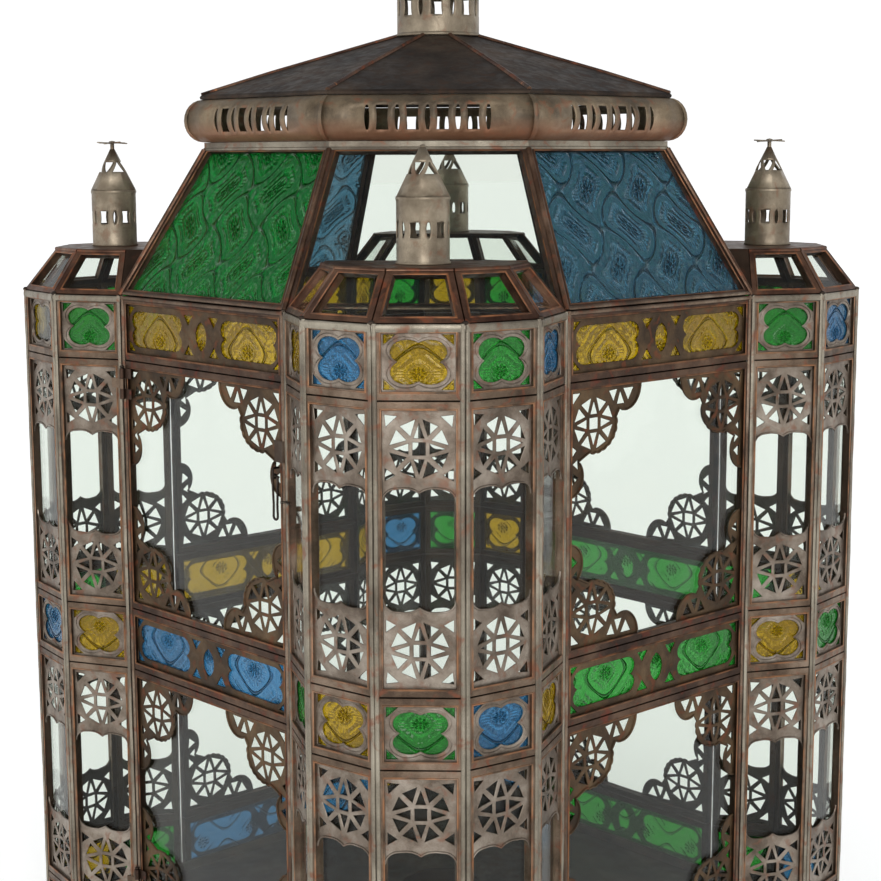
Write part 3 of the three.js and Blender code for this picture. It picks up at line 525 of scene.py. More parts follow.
def soda_glass(name, colour, shadow, rough, gloss, body):
    """Clear or dyed soda glass, with the share of light that its body lets through. Shadow rays pass it
    tinted, as daylight does, and all others meet the glass itself. A film of dust and smoke takes off most
    of its gloss, so its IOR of 1.52 is brought down to 1.25, or less far where it is pressed."""
    material, tree, shader = new_material(name)
    feed(tree, shader, {"Base Color": linear(colour), "Roughness": rough, "IOR": gloss,
                        "Specular IOR Level": 0.1, "Transmission Weight": body})
    light = add(tree, "BsdfTransparent", {"Color": linear(shadow)})
    ray = add(tree, "LightPath").outputs["Is Shadow Ray"]
    both = add(tree, "MixShader", {"Fac": ray, "Shader": shader, "Shader_001": light})
    feed(tree, tree.nodes["Material Output"], {"Surface": both})
    return material, tree, shader


def window_glass(name, colour, shadow, wave=60):
    """Rolled window glass: smooth, with slow waves of that length in millimetres."""
    material, tree, shader = soda_glass(name, colour, shadow, 0.02, 1.25, 1.0)
    place = add(tree, "TexCoord").outputs["Object"]
    waves = add(tree, "TexNoise", {"Vector": place, "Scale": 1000 / wave, "Detail": 1.0})
    feed(tree, shader, {"Normal": add(tree, "Bump", {"Height": waves, "Strength": 0.25, "Distance": 0.0012})})
    return material


def pressed_glass(name, colour, shadow, wide=50.0, tall=42.6, sway=0.0, edge=0.26, flower=0.6, deep=1.0):
    """Pressed glass: a lattice of rounded cells, each with a flower of eight petals in rings 3 mm apart, and
    a smaller flower where four cells meet. Two cosines give the cells and their outline, two sines the way
    from a middle. With a sway, each cosine is pushed along by the other way's sine, which bends the lattice
    to a vine. The colour is darker where the pattern stands up: partly the thicker glass there, and partly
    painted shade that draws the pattern's folds dark."""
    material, tree, shader = soda_glass(name, colour, shadow, 0.07, 1.38, 0.82)
    place = add(tree, "TexCoord").outputs["UV"]
    way = add(tree, "SeparateXYZ", {"Vector": place})
    grains = add(tree, "TexVoronoi", {"Vector": place, "Scale": 1000 / 3.4}, feature="SMOOTH_F1")
    found = {"x": way.outputs["X"], "y": way.outputs["Y"], "grain": grains.outputs["Distance"]}
    steps = [
        ("straight across", "MULTIPLY", "x", 2000 * np.pi / wide),
        ("straight up", "MULTIPLY", "y", 2000 * np.pi / tall),
        ("swing across", "SINE", "straight up"), ("swing up", "SINE", "straight across"),
        ("across", "MULTIPLY_ADD", "swing across", sway, "straight across"),
        ("up", "MULTIPLY_ADD", "swing up", sway, "straight up"),
        ("cosine across", "COSINE", "across"), ("cosine up", "COSINE", "up"),
        ("level", "ADD", "cosine across", "cosine up"),
        ("off the line", "SUBTRACT", "level", edge), ("off", "ABSOLUTE", "off the line"),
        ("outline", "SMOOTHSTEP", "off", 0.2, 0.02, 0.0, 1.0),
        ("aside", "SINE", "across"), ("above", "SINE", "up"),
        ("aside squared", "MULTIPLY", "aside", "aside"),
        ("both", "MULTIPLY_ADD", "above", "above", "aside squared"),
        ("reach", "SQRT", "both"), ("turn", "ARCTAN2", "above", "aside"),
        ("height", "ABSOLUTE", "level"), ("middles", "SMOOTHSTEP", "height", 0.7, 1.0, 0.0, flower),
        ("eight", "MULTIPLY", "turn", 8.0), ("petal wave", "COSINE", "eight"),
        ("petal start", "SMOOTHSTEP", "reach", 0.12, 0.35, 0.0, 1.0),
        ("petal end", "SMOOTHSTEP", "reach", 0.8, 0.45, 0.0, 1.0),
        ("petal mask", "MULTIPLY", "petal start", "petal end"),
        ("petals", "MULTIPLY", "petal wave", "petal mask"),
        ("twenty-four", "MULTIPLY", "turn", 24.0), ("ray wave", "COSINE", "twenty-four"),
        ("ray mask", "SMOOTHSTEP", "reach", 0.7, 0.95, 0.0, 0.12),
        ("rays", "MULTIPLY", "ray wave", "ray mask"),
        ("leaves", "ADD", "petals", "rays"), ("eye", "SMOOTHSTEP", "reach", 0.2, 0.1, 0.0, 1.0),
        ("ring turn", "MULTIPLY", "reach", 16.0), ("rings", "COSINE", "ring turn"),
        ("leaves in rings", "MULTIPLY_ADD", "rings", 0.45, "leaves"),
        ("whole flower", "ADD", "leaves in rings", "eye"), ("flower", "MULTIPLY", "whole flower", "middles"),
        ("between", "SMOOTHSTEP", "level", 0.1, -0.1, 0.2, 0.5), ("stipple", "MULTIPLY", "grain", "between"),
        ("pattern", "ADD", "outline", "flower"), ("relief", "ADD", "pattern", "stipple"),
    ]
    math_keys = ("Value", "Value_001", "Value_002")
    range_keys = ("Value", "From Min", "From Max", "To Min", "To Max")
    for result, work, *values in steps:
        smooth = work == "SMOOTHSTEP"
        links = dict(zip(range_keys if smooth else math_keys, [found.get(value, value) for value in values]))
        found[result] = add(tree, "MapRange" if smooth else "Math", links,
                            **{"interpolation_type" if smooth else "operation": work})
    relief, thin = found["relief"], linear(colour)
    bump = add(tree, "Bump", {"Height": relief, "Strength": 1.0, "Distance": deep / 1000})
    # The raised parts of the pattern take a much darker colour: partly the thicker glass, partly painted
    # shade along the folds
    thick_and_shaded = [*(0.22 * np.array(thin[:3])), 1]
    raised = add(tree, "MapRange", {"Value": relief, "From Min": 0.1, "From Max": 0.9, "To Max": 0.8})
    dye_and_shade = add(tree, "Mix", {"Factor": raised, "A": thin, "B": thick_and_shaded}, data_type="RGBA")
    feed(tree, shader, {"Base Color": dye_and_shade, "Normal": bump})
    return material


def pane(corners, out, thickness=2.5, ease=0.4):
    """A flat pane: rings drawn in at its faces and full between them, closed front and back. Only the front
    is mapped, so that only the front shows the mould's pattern."""
    corners = np.asarray(corners, float)
    rings = [(ease, 0), (0, -ease), (0, ease - thickness), (ease, -thickness)]
    flat = np.stack([drawn_in(corners, inwards) for inwards, _ in rings])
    raised = np.repeat(np.array([out + rise for _, rise in rings])[:, None], len(corners), 1)
    count = len(corners)
    points, cells = capped(quads(np.dstack([flat, raised])[::-1], round_columns=True), count)
    ends, mapped = cells[-1]
    mapped[1] = points[ends[1], :2]
    return points, cells


# Rolled window glass: nearly colourless, and the world behind it bends a little. Pressed glass: deep
# colour that breaks into bright and dark at each fold of the pattern, the dark partly painted shade.
glazing = {
    "clear": window_glass("rolled_window_glass", "#f0f4ef", "#e8eee9"),
    "amber": pressed_glass("pressed_amber_glass", "#d9b41c", "#dcb85a"),
    "blue": pressed_glass("pressed_blue_glass", "#4a98cc", "#7fb2d6"),
    "green": pressed_glass("pressed_green_glass", "#3bb944", "#74c98a"),
}
pane_out, pane_lap = -3.3, 3.2
band_colours = {"door": ("green", "blue", "amber"), "right_wall": ("blue", "green", "amber"),
                "back_wall": ("green", "green", "amber"), "left_wall": ("blue", "amber", "amber")}
row_names = ("band_bottom", "window_lower", "band_middle", "window_upper", "band_top")


def glass_behind(half, row):
    """The pane of one row, for a frame that wide: it laps the flats of its channels all round."""
    (low, high), inset = rows[row], came - pane_lap
    return pane(rectangle(inset - half, half - inset, low + inset, high - inset), pane_out)


for name, (face, half, body) in walls.items():
    for row, row_name in enumerate(row_names):
        colour = "clear" if row % 2 else band_colours[name][row // 2]
        piece(f"{name}_pane_{row_name}", onto([face], [glass_behind(half, row)]), glazing[colour],
              f"{name}_glass_{row_name}", body)

# Bays: five narrow faces on each corner, framed like the walls. A band has a four-lobed opening with
# a small triangle in each corner. A window has a plate pierced with a star at its head and one at its
# foot, and both end in an arch.
flower = four_ways(arc(6.8, 6.0, 10.0, 7.2, -56.4, 132.8, 12))
flower_cut = [(20.8, 16.2), (13.6, 16.2), (20.8, 10.0)]
bay_plate, arch_rise = 46, 9
bay_half = bay_face / 2 - came
arch_foot = bay_plate + arch_rise - 0.5


def bay_band_outlines(height):
    """A bay's narrow plate about its own middle."""
    edge = rectangle(-bay_half - 1, bay_half + 1, plate_lap - height / 2, height / 2 - plate_lap)
    return [edge, flower, *(np.array(flower_cut) * mirror for mirror in mirrors)]


# The lower edge of a window plate, y downwards: two flat lobes with a small point between them, and a
# quarter round down to each post
half_arch = np.array([(bay_half + 1, arch_foot), *arc(13.8, arch_foot, 8.1, 7.6, 0, -90, 6),
                      (9.0, bay_plate + 0.5), (5.2, bay_plate + 0.9), (2.2, bay_plate + 2.0),
                      (0, bay_plate + 3.4)])
arch = np.concatenate([half_arch, (half_arch * (-1, 1))[-2::-1]])


def lattice_outlines():
    """A bay's window plate from the inner edge of its rail, y downwards: star, corner cuts and arch."""
    edge = np.concatenate([[(-bay_half - 1, -1), (bay_half + 1, -1)], arch])
    cuts = ([(20.4, 2.8), (13.0, 3.6), (19.6, 9.8)], [(20.4, 34.6), (20.4, 42.2), (14.4, 38.8)])
    corners = [np.array(cut) * (way, 1) for cut in cuts for way in (1, -1)]
    return [edge, *star_holes(0, 23.0, 0.98, 0.98), *corners]


bays = {"bay_front_left": -45, "bay_front_right": 45, "bay_back_right": 135, "bay_back_left": 225}
flower_plates, star_plates = [], []
for low, high in rows[::2]:
    middle = (low + high) / 2
    flower_plates.append(pierced([moved(o, 0, middle) for o in bay_band_outlines(high - low)], plate_out))
    chased = moved(flower * (1.13, 1.16), 0, middle)
    flower_plates.append(wire(np.c_[chased, np.full(len(chased), plate_out)], 0.4, (0, 0, 1), True, 5))
for low, high in rows[1::2]:
    for edge, way in ((low + came, 1), (high - came, -1)):
        place = [np.array((0, edge)) + np.asarray(o) * (1, way) for o in lattice_outlines()]
        star_plates.append(pierced(place, plate_out))
        rolled = np.array((0, edge)) + arch[1:-1] * (1, way)
        star_plates.append(wire(np.c_[rolled, np.full(len(rolled), plate_out + 0.1)], 0.7, (0, 0, 1)))

# The bays were tinned before they were cut, so their sheet and strip are greyer than the walls'
bay_plate_metal = aged_metal("tinned_bay_sheet", ("#4b4036", "#a0968a", "#786c60"), "#7d5542", 0.65,
                             (0.34, 0.56), 0.8, 26)
bay_channel = folded_channel("browned_bay_channel", ("#3a2d24", "#8a7868", "#655445"), "#7b4733", 0.65,
                             (0.36, 0.58), 0.82, 36, "#b07b55", 0.55)

# The colours of each bay's bands from the lowest to the highest, each from its left face to its right
bay_colours = {
    "bay_front_left": ("green amber blue green amber", "amber green green blue amber",
                       "green amber amber clear green"),
    "bay_front_right": ("blue green amber green blue", "green amber green blue amber",
                        "amber blue amber green blue"),
    "bay_back_right": ("green blue amber blue green", "amber green blue amber green",
                       "green blue amber blue green"),
    "bay_back_left": ("amber blue green amber blue", "green amber green blue amber",
                      "blue green amber green amber"),
}
bay_faces = {}
mitre = np.tan(bay_step / 2 * deg)
for number, (name, turn) in enumerate(bays.items()):
    centre = bay_reach * np.array([np.sin(turn * deg), -np.cos(turn * deg)])
    faces = [face_frame((turn + bay_step * step) * deg, bay_depth, centre) for step in (-2, -1, 0, 1, 2)]
    bay_faces[name] = faces
    half = bay_face / 2
    frames = [channel(rectangle(-half, half, low, high), channel_section(came), step=30,
                      lean=[0, mitre, 0, mitre]) for low, high in rows]
    piece(f"{name}_channels", onto(faces, frames), bay_channel, f"{name}_frame")
    beads = []
    for step, face in enumerate(faces):
        beads += onto([face], face_beads(half, 100 + 50 * number + 5 * step, (5.0, 0.9, 2.6, 3)))
    piece(f"{name}_posts", beads, solder, f"{name}_frame")
    piece(f"{name}_plates", onto(faces, flower_plates + star_plates), bay_plate_metal, f"{name}_frame")
    glazed = {colour: [] for colour in glazing}
    for step, face in enumerate(faces):
        for row in range(len(rows)):
            colour = "clear" if row % 2 else bay_colours[name][row // 2].split()[step]
            glazed[colour] += onto([face], [glass_behind(half - 0.2, row)])
    for colour, parts in glazed.items():
        piece(f"{name}_panes_{colour}", parts, glazing[colour], f"{name}_glass")

# Hinges: brass strip rolled round a wire. The door has a knuckle above and below the bay's one, and
# each strip's tail is soldered to its own side.
hinge_x, hinge_y = -wide_face / 2 + 2.8, -wall_reach - 2.3
hinge_inset, knuckle_length, knuckle_gap, strip = 62, 7, 0.3, 0.45
hinge_middles = (wall_foot + hinge_inset, eave - hinge_inset)


def knuckle(middle, start_angle, tail_end):
    """A strip rolled round the pin: a plan of the roll and its tail, carried upwards."""
    roll = arc(hinge_x, hinge_y, 2.0, 2.0, start_angle, start_angle + 330, 14)
    inner = arc(hinge_x, hinge_y, 1.15, 1.15, start_angle + 330, start_angle, 14)
    start, end = roll[0], np.array(tail_end)
    side = np.array([-(end - start)[1], (end - start)[0]]) / np.linalg.norm(end - start) * strip
    plan = np.concatenate([roll, inner, [start - side * 2, end - side * 2, end]])
    level = np.linspace(middle - knuckle_length / 2, middle + knuckle_length / 2, 3)
    points = np.concatenate([np.repeat(plan[None], 3, 0), np.repeat(level[:, None, None], len(plan), 1)], -1)
    return capped(quads(points, round_columns=True), len(plan))


knuckle_pitch = knuckle_length + knuckle_gap
door_knuckles = [knuckle(middle + side * knuckle_pitch, 90, (hinge_x + 9, -wall_reach - 0.1))
                 for middle in hinge_middles for side in (-1, 1)]
bay_knuckles = [knuckle(middle, 110, (-wide_face / 2 - 8.0, -wall_reach - 4.2)) for middle in hinge_middles]
piece("door_hinge_knuckles", door_knuckles, wall_channel, "door_frame", "door")
piece("bay_hinge_knuckles", bay_knuckles, bay_channel, "bay_front_left_frame")

# Iron wire: drawn, then blackened by years of heat and handling
black_wire = aged_metal("blackened_iron_wire", ("#1d1916", "#4a433b", "#302a25"), "#5a3d2b", 0.4, (0.32, 0.5),
                        0.85, 12)
pin_section = [(0.2, -11.5), (0.7, -11.3), (0.8, -10.8), (0.8, 11.2), (1.4, 11.3), (1.7, 11.9), (1.5, 12.6),
               (0.2, 13.0)]
for middle, node in zip(hinge_middles, ("hinge_pin_lower", "hinge_pin_upper")):
    pin = turned([(radius, middle + level) for radius, level in pin_section], 12, (hinge_x, hinge_y))
    piece(f"{node}_wire", [pin], black_wire, node)

# Latch: a staple of bent wire on the door's right post with a long loop hanging from it, a folded tab
# above them that laps the gap, and a hooked wire on the bay that the loop is pushed over.


def rounded(points, radius, steps=5):
    """A path of straight runs whose corners are turned by arcs of about that radius."""
    points = np.asarray(points, float)
    path = [points[0]]
    for before, corner, after in zip(points[:-2], points[1:-1], points[2:]):
        back = corner + (before - corner) / np.linalg.norm(before - corner) * radius
        on = corner + (after - corner) / np.linalg.norm(after - corner) * radius
        share = np.linspace(0, 1, steps + 1)[:, None]
        path.extend((1 - share) ** 2 * back + 2 * share * (1 - share) * corner + share ** 2 * on)
    return np.array([*path, points[-1]])


staple_x, staple_z, latch_radius = wide_face / 2 - 8.8, eave - 104, 0.8
loop_y = -wall_reach - 2.5
loop_low, loop_high = (corner.z * 1000 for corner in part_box("latch_loop"))
staple_bend = [(0.6, -3.2), (-4.2, -3.2), (-4.2, 3.2), (0.6, 3.2)]
staple_path = rounded([(staple_x, -wall_reach + out, staple_z + rise) for out, rise in staple_bend], 1.4)
piece("latch_staple_wire", [wire(staple_path, latch_radius, (1, 0, 0), sides=10)], black_wire,
      "latch_staple", "door")
low, high, bow, tip = loop_low + latch_radius, loop_high - latch_radius, 2.8, 2.2
loop_flat = np.concatenate([arc(staple_x, high - bow, bow, bow, 0, 180, 10),
                            np.array([(staple_x - 2.3, high - 12), (staple_x - 1.9, high - 20)]),
                            arc(staple_x, low + tip, tip, tip, 180, 360, 10),
                            np.array([(staple_x + 1.9, high - 20), (staple_x + 2.3, high - 12)])])
loop_path = np.stack([loop_flat[:, 0], np.full(len(loop_flat), loop_y), loop_flat[:, 1]], -1)
piece("latch_loop_wire", [wire(loop_path, latch_radius, (0, -1, 0), True, 10)], black_wire, "latch_loop",
      "latch_loop")
door_face, door_half, _ = walls["door"]
tab = [(-10.4, 0.2), (-9.6, 1.5), (-1.2, 1.7), (-0.4, 1.0), (-0.4, 0.2), (-1.0, 0.2), (-1.4, 1.0),
       (-9.2, 0.9), (-9.8, 0.2)]
tab_levels = staple_z + 7 * np.array([3, 2, 1])
tab_rings = np.array([[(door_half + along, level, out) for along, out in tab] for level in tab_levels])
piece("latch_tab", onto([door_face], [capped(quads(tab_rings, round_columns=True), len(tab))]),
      wiped_solder, "door_frame", "door", bend=20)
catch_face = bay_faces["bay_front_right"][0]
catch_z = eave - 122 + latch_radius
catch_bend = [(4.8, 5.2), (4.8, 1.1), (15.6, 1.1)]
catch_flat = rounded([(along - bay_face / 2, catch_z, out) for along, out in catch_bend], 1.6)
piece("latch_catch_wire", onto([catch_face], [wire(catch_flat, latch_radius, (0, 1, 0), sides=10)]),
      black_wire, "latch_catch")

# Bay roofs: five small leaning panes in reddish channels, under a flat plate with a vent hole.
# The copper under the patina shows most here, because hands take the lantern by these edges.
bay_rise, top_share = 31, 0.72
roof_run = bay_depth * (1 - top_share)
bay_slope = np.hypot(bay_rise, roof_run)
red_channel = folded_channel("rubbed_copper_channel", ("#3b241b", "#83624d", "#5d4234"), "#8f4f35", 0.7,
                             (0.34, 0.56), 0.84, 30, "#b87a50", 0.6, (3.6, 4.4, 5.2, 6.0))


def tilted(face, run, rise, foot):
    """An upright face leant back by run for each rise, hung at its foot's height."""
    length = np.hypot(run, rise)
    origin, along, up, out = face
    leant_up, leant_out = (up * rise - out * run) / length, (out * rise + up * run) / length
    return np.array([origin + up * foot, along, leant_up, leant_out])


low_side, high_side = bay_face / 2, bay_face / 2 * top_share
roof_corners = np.array([(-low_side, 0), (low_side, 0), (high_side, bay_slope), (-high_side, bay_slope)])
roof_channel = channel(roof_corners, channel_section(5.0), step=30, lean=[0.35, 0.25, 0, 0.25])
roof_light = pane(drawn_in(roof_corners, 3.0), pane_out)
roof_bead = ridge(bay_slope - 1.6, -high_side, high_side, 2.6, 0.9, 7, True)
for name, faces in bay_faces.items():
    leant = [tilted(face, roof_run, bay_rise, eave) for face in faces]
    vertices = [face[0] - face[1] * low_side for face in faces]
    drops = [turned(arc(0, eave + 0.4, 2.1, 1.5, -85, 85, 6), 10, spot[:2] * 0.997) for spot in vertices]
    piece(f"{name}_roof_channels", onto(leant, [roof_channel]), red_channel, f"{name}_frame")
    piece(f"{name}_roof_beads", onto(leant, [roof_bead]), red_channel, f"{name}_frame")
    piece(f"{name}_roof_panes", onto(leant, [roof_light]), glazing["clear"], f"{name}_roof_glass")
    piece(f"{name}_solder_drops", drops, dark_sheet, f"{name}_frame")

# The flat top: a plate from the ring of channels back to the main roof, with a round hole under the
# finial, and a folded strip that closes each end against the main roof
main_run, main_rise = 58, 101
back_line = main_run * bay_rise / main_rise - 0.6
top_ring = bay_round * top_share
top_back = [(top_ring, back_line), (-top_ring, back_line)]
top_outline = np.concatenate([arc(0, 0, top_ring, top_ring, 180, 360, 5), top_back])
finial_out, vent_radius, top_sheet = 22, 13.3, 1.6
vent = arc(0, -finial_out, vent_radius, vent_radius, 0, 345, 23)
top_plate = pierced([top_outline, vent], bay_rise, top_sheet)

# Rubbed copper-red sheet: warm brown, with the soft gloss of what is often touched
copper_sheet = aged_metal("rubbed_copper_sheet", ("#3a271d", "#7d6452", "#5a4435"), "#8d5238", 0.6,
                          (0.36, 0.58), 0.82, 26)
for name, turn in bays.items():
    along = np.array([np.cos(turn * deg), np.sin(turn * deg), 0])
    inwards = np.array([-np.sin(turn * deg), np.cos(turn * deg), 0])
    level = np.array([[*(-bay_reach * inwards[:2]), eave], along, inwards, [0, 0, 1]])
    ends = []
    for side in (-1, 1):
        outer = np.array([(side * bay_round, 0.0, 0.0), (side * top_ring, 0.0, bay_rise),
                          (side * top_ring, back_line, bay_rise), (side * (bay_round - 1), 0.8, 0.4)])[::side]
        inner = outer + (-side * 0.9, 0, -0.6)
        ends.append(capped(quads(np.stack([inner, outer]), round_columns=True), 4))
    piece(f"{name}_roof_top", onto([level], [top_plate, *ends]), copper_sheet, f"{name}_frame")

# Finials: a drum of rolled sheet with slits and waisted openings by turns, a thin bead round its head
# and a cone with a ring of triangles near its tip, every other one point up. Three still have their
# star of cut sheet.
waisted, slit, wedge, upturned = range(4)


def slotted(rows_at, point, centres, widths, shapes, ends=None, bars=4, gaps=2):
    """A sheet with upright openings. A row's number is its share of the slots' height, from -1 to 1, and
    beyond that the sheet is whole. Each opening is as wide as its shape gives in that row, the bars
    between take what is left, and point turns (along, row) into places."""
    share = np.clip(rows_at, -1, 1)[:, None]
    half = np.choose(shapes, [0.76 + 0.24 * share ** 2, 1 - share ** 2, (1 - share) / 2, (1 + share) / 2])
    half = np.maximum(half * widths / 2, widths * 0.03)
    left, right = centres - half, centres + half
    round_about = ends is None
    if round_about:
        starts, stops, next_starts = right, np.roll(left, -1, 1), np.roll(right, -1, 1)
        stops[:, -1] += 2 * np.pi
        next_starts[:, -1] += 2 * np.pi
    else:
        first, last = [np.full((len(rows_at), 1), end) for end in ends]
        starts, stops = np.concatenate([first, right], 1), np.concatenate([left, last], 1)
        next_starts = np.concatenate([right, right[:, -1:]], 1)
    bar_cuts = np.linspace(0, 1, bars + 1)[:-1]
    bar = starts[..., None] + (stops - starts)[..., None] * bar_cuts
    hole_cuts = np.linspace(0, 1, gaps + 1)[:-1]
    hole = stops[..., None] + (next_starts - stops)[..., None] * hole_cuts
    along = np.concatenate([bar, hole], -1).reshape(len(rows_at), -1)
    kinds = np.tile(np.repeat([True, False], [bars, gaps]), starts.shape[1])
    if not round_about:
        along = np.concatenate([along[:, :-gaps], last], 1)
        kinds = kinds[:-gaps]
    whole = (rows_at[:-1] < -0.999) | (rows_at[1:] > 0.999)
    keep = kinds[None, :] | whole[:, None]
    points = point(along, np.repeat(rows_at[:, None], along.shape[1], 1))
    return quads(points, round_columns=round_about, keep=keep)


def solidified(made, thickness):
    """The sheet's own thickness, laid on its inner side."""
    wall = made.modifiers.new("thickness", "SOLIDIFY")
    wall.thickness, wall.offset = thickness / 1000, -1


def drum(x, y, foot, section, slot_low, slot_high, widths, shapes):
    """A turned sheet of (radius, height) pairs whose slots lie between two heights, side by side."""
    radius, height = np.asarray(section, float).T
    middle, half = (slot_low + slot_high) / 2, (slot_high - slot_low) / 2
    levels = np.unique(np.concatenate([height, np.linspace(slot_low, slot_high, 9)]))
    centres = 2 * np.pi * np.arange(len(widths)) / len(widths)
    widths = np.array(widths) / np.interp(middle, height, radius)

    def place(angle, row):
        level = row * half + middle
        reach = np.interp(level, height, radius)
        return np.stack([x + reach * np.cos(angle), y + reach * np.sin(angle), foot + level], -1)

    return slotted((levels - middle) / half, place, centres, widths, shapes)


# Rolled brass sheet: browned, brushed round by wiping, with a soft gloss
rolled_sheet = aged_metal("rolled_brass_sheet", ("#5b4e3f", "#a19480", "#7f7361"), "#7d5640", 0.5,
                          (0.34, 0.52), 0.6, 30, soot_and_shade=0.0, drawn=(1, 1, 0.4))
finial_foot, finial_height, finial_cone, finial_sheet = bay_rise + eave + joint_gap, 41, 30, 0.9
drum_section = [(17.2, 0), (16.7, 1.2), (16.4, 1.8), (16.4, 12), (16.4, 38.2), (16.7, 38.8), (16.9, 39.6),
                (16.7, 40.4), (16.5, finial_height)]
cone_section = [(16.5, finial_height), (1.7, finial_height + finial_cone)]
cone_slots = (finial_height + 12, finial_height + 22)

# Above the cone's peak: a plain knob where the star is lost, or the stem that carries it
knob_section = [(0.2, -3), (1.5, -2.6), (1.9, 0), (1.2, 1.0), (0.2, 1.2)]
stem_section = [(0.2, -3), (1.5, -2.6), (1.5, 4.8), (2.4, 5.0), (2.4, 5.6), (0.2, 6.2)]
star_level, star_sheet, star_bend = 5.0, 0.9, 0.005
corner = np.arange(32)
ray = np.where(corner % 4 == 0, 11.5, np.where(corner % 2 == 0, 6.4, 8.2))
star = np.stack([ray * np.cos(corner * np.pi / 16), ray * np.sin(corner * np.pi / 16)], -1)
for name, turn in bays.items():
    reach = bay_reach + finial_out
    x, y = reach * np.sin(turn * deg), -reach * np.cos(turn * deg)
    body = drum(x, y, finial_foot, drum_section, 14.5, 27, [7.5, 2.8] * 6, [waisted, slit] * 6)
    tip = drum(x, y, finial_foot, cone_section, *cone_slots, [11.4] * 6, [wedge, upturned] * 3)
    solidified(piece(f"{name}_finial_shell", [body, tip], rolled_sheet, f"{name}_finial"), finial_sheet)
    peak = finial_foot + finial_height + finial_cone
    lost = name == "bay_front_right"
    section = knob_section if lost else stem_section
    fittings = [turned([(radius, peak + level) for radius, level in section], 12, (x, y))]
    if not lost:
        points, cells = pierced([star], peak + star_level, star_sheet)
        along, across = points[:, 0], points[:, 1]
        points[:, 2] += star_bend * (along ** 2 + across ** 2) * np.cos(3 * np.arctan2(across, along))
        fittings.append((points + (x, y, 0), cells))
    piece(f"{name}_finial_tip", fittings, rolled_sheet, f"{name}_finial")

# Main roof: eight leaning panes in wide channels, clear over the bays and dyed over the walls, with an
# upright strip soldered round the top. The ribs between panes are two folded edges side by side.
main_slope = np.hypot(main_run, main_rise)
tucked, roof_came = 3.0, 4.8


def body_ring(inwards):
    """The eight corners of the body's plan drawn in by a distance, starting right of the door."""
    near = wall_reach - inwards
    far = (bay_reach - inwards) * np.sqrt(2) - near
    return np.concatenate(quarter_turns([(far, -near), (near, -far)]))


low_ring, high_ring = body_ring(0), body_ring(main_run)
low_half = np.linalg.norm(low_ring - np.roll(low_ring, 1, 0), axis=1) / 2
high_half = np.linalg.norm(high_ring - np.roll(high_ring, 1, 0), axis=1) / 2
roof_parts = ["door_green", "bay_front_right", "right_blue", "bay_back_right", "back_green", "bay_back_left",
              "left_blue", "bay_front_left"]

# Pressed glass of a deeper mould than the bands': a lattice bent to a vine round larger flowers
vine = {"wide": 52.0, "tall": 58.0, "sway": 0.45, "edge": 0.12, "flower": 1.0, "deep": 1.5}
roof_glass = {"clear": glazing["clear"],
              "green": pressed_glass("pressed_roof_green_glass", "#12a845", "#6cc489", **vine),
              "blue": pressed_glass("pressed_roof_blue_glass", "#5a94ae", "#76a8d8", **vine)}
roof_channels, roof_beads = [], []
for number, name in enumerate(roof_parts):
    over_bay = number % 2 == 1
    upright = face_frame(number * 45 * deg, bay_reach if over_bay else wall_reach)
    face = tilted(upright, main_run, main_rise, eave + joint_gap)
    foot_half, head_half = low_half[number], high_half[number]
    head_half += (head_half - foot_half) * tucked / main_slope
    head = main_slope + tucked
    corners = np.array([(-foot_half, 0), (foot_half, 0), (head_half, head), (-head_half, head)])
    folded = channel(corners, channel_section(roof_came), step=24, lean=[0.5, 0.4, 0, 0.4])
    roof_channels += onto([face], [folded])
    roof_beads += onto([face], [ridge(1.8, -foot_half, foot_half, 2.8, 0.9, 300 + number, True)])
    colour = "clear" if over_bay else name.split("_")[-1]
    piece(f"roof_pane_{name}", onto([face], [pane(drawn_in(corners, roof_came / 2), pane_out)]),
          roof_glass[colour], f"roof_glass_{name}")
piece("roof_channels", roof_channels, wall_channel, "roof_frame")
piece("roof_eave_beads", roof_beads, wiped_solder, "roof_frame")

# Ribs: a round strip of rubbed sheet soldered over the joint of two panes, from the eave to the top
ribs = []
for low, high in zip(low_ring, high_ring):
    start, end = np.array([*low, eave + 0.6]), np.array([*high, eave + main_rise])
    path = start + (end - start) * np.linspace(0, 1, 24)[:, None]
    ribs.append(wire(path, 2.0, np.cross(end - start, (low[1], -low[0], 0)), sides=10))
piece("roof_ribs", ribs, copper_sheet, "roof_frame")


def around_body(section):
    """A closed section of (inwards, height) pairs carried round the eight corners of the body."""
    rings = np.stack([np.c_[body_ring(inwards), np.full(8, height)] for inwards, height in section])
    return quads(rings, round_rows=True, round_columns=True)


flange_height = 5.2
flange_low, flange_high = eave + main_rise, eave + main_rise + flange_height
flange = around_body([(main_run - 0.4, flange_low - 0.6), (main_run - 0.7, flange_low + 1.2),
                      (main_run, flange_low + 1.6), (main_run, flange_high), (main_run + 1.2, flange_high),
                      (main_run + 1.2, flange_low - 0.6)])
piece("roof_flange", [flange], solder, "roof_frame", bend=20)

# Vent band: a strip of sheet rolled half round, with slits and wide openings by turns in each side,
# and a folded joint at each corner. Its lower half is rubbed to copper.
band_foot, band_height, band_bulge, band_thickness, vent_slots = flange_high + joint_gap, 29.5, 12, 0.9, 4
rubbed_from, rubbed_to = band_foot + 15, band_foot + 4


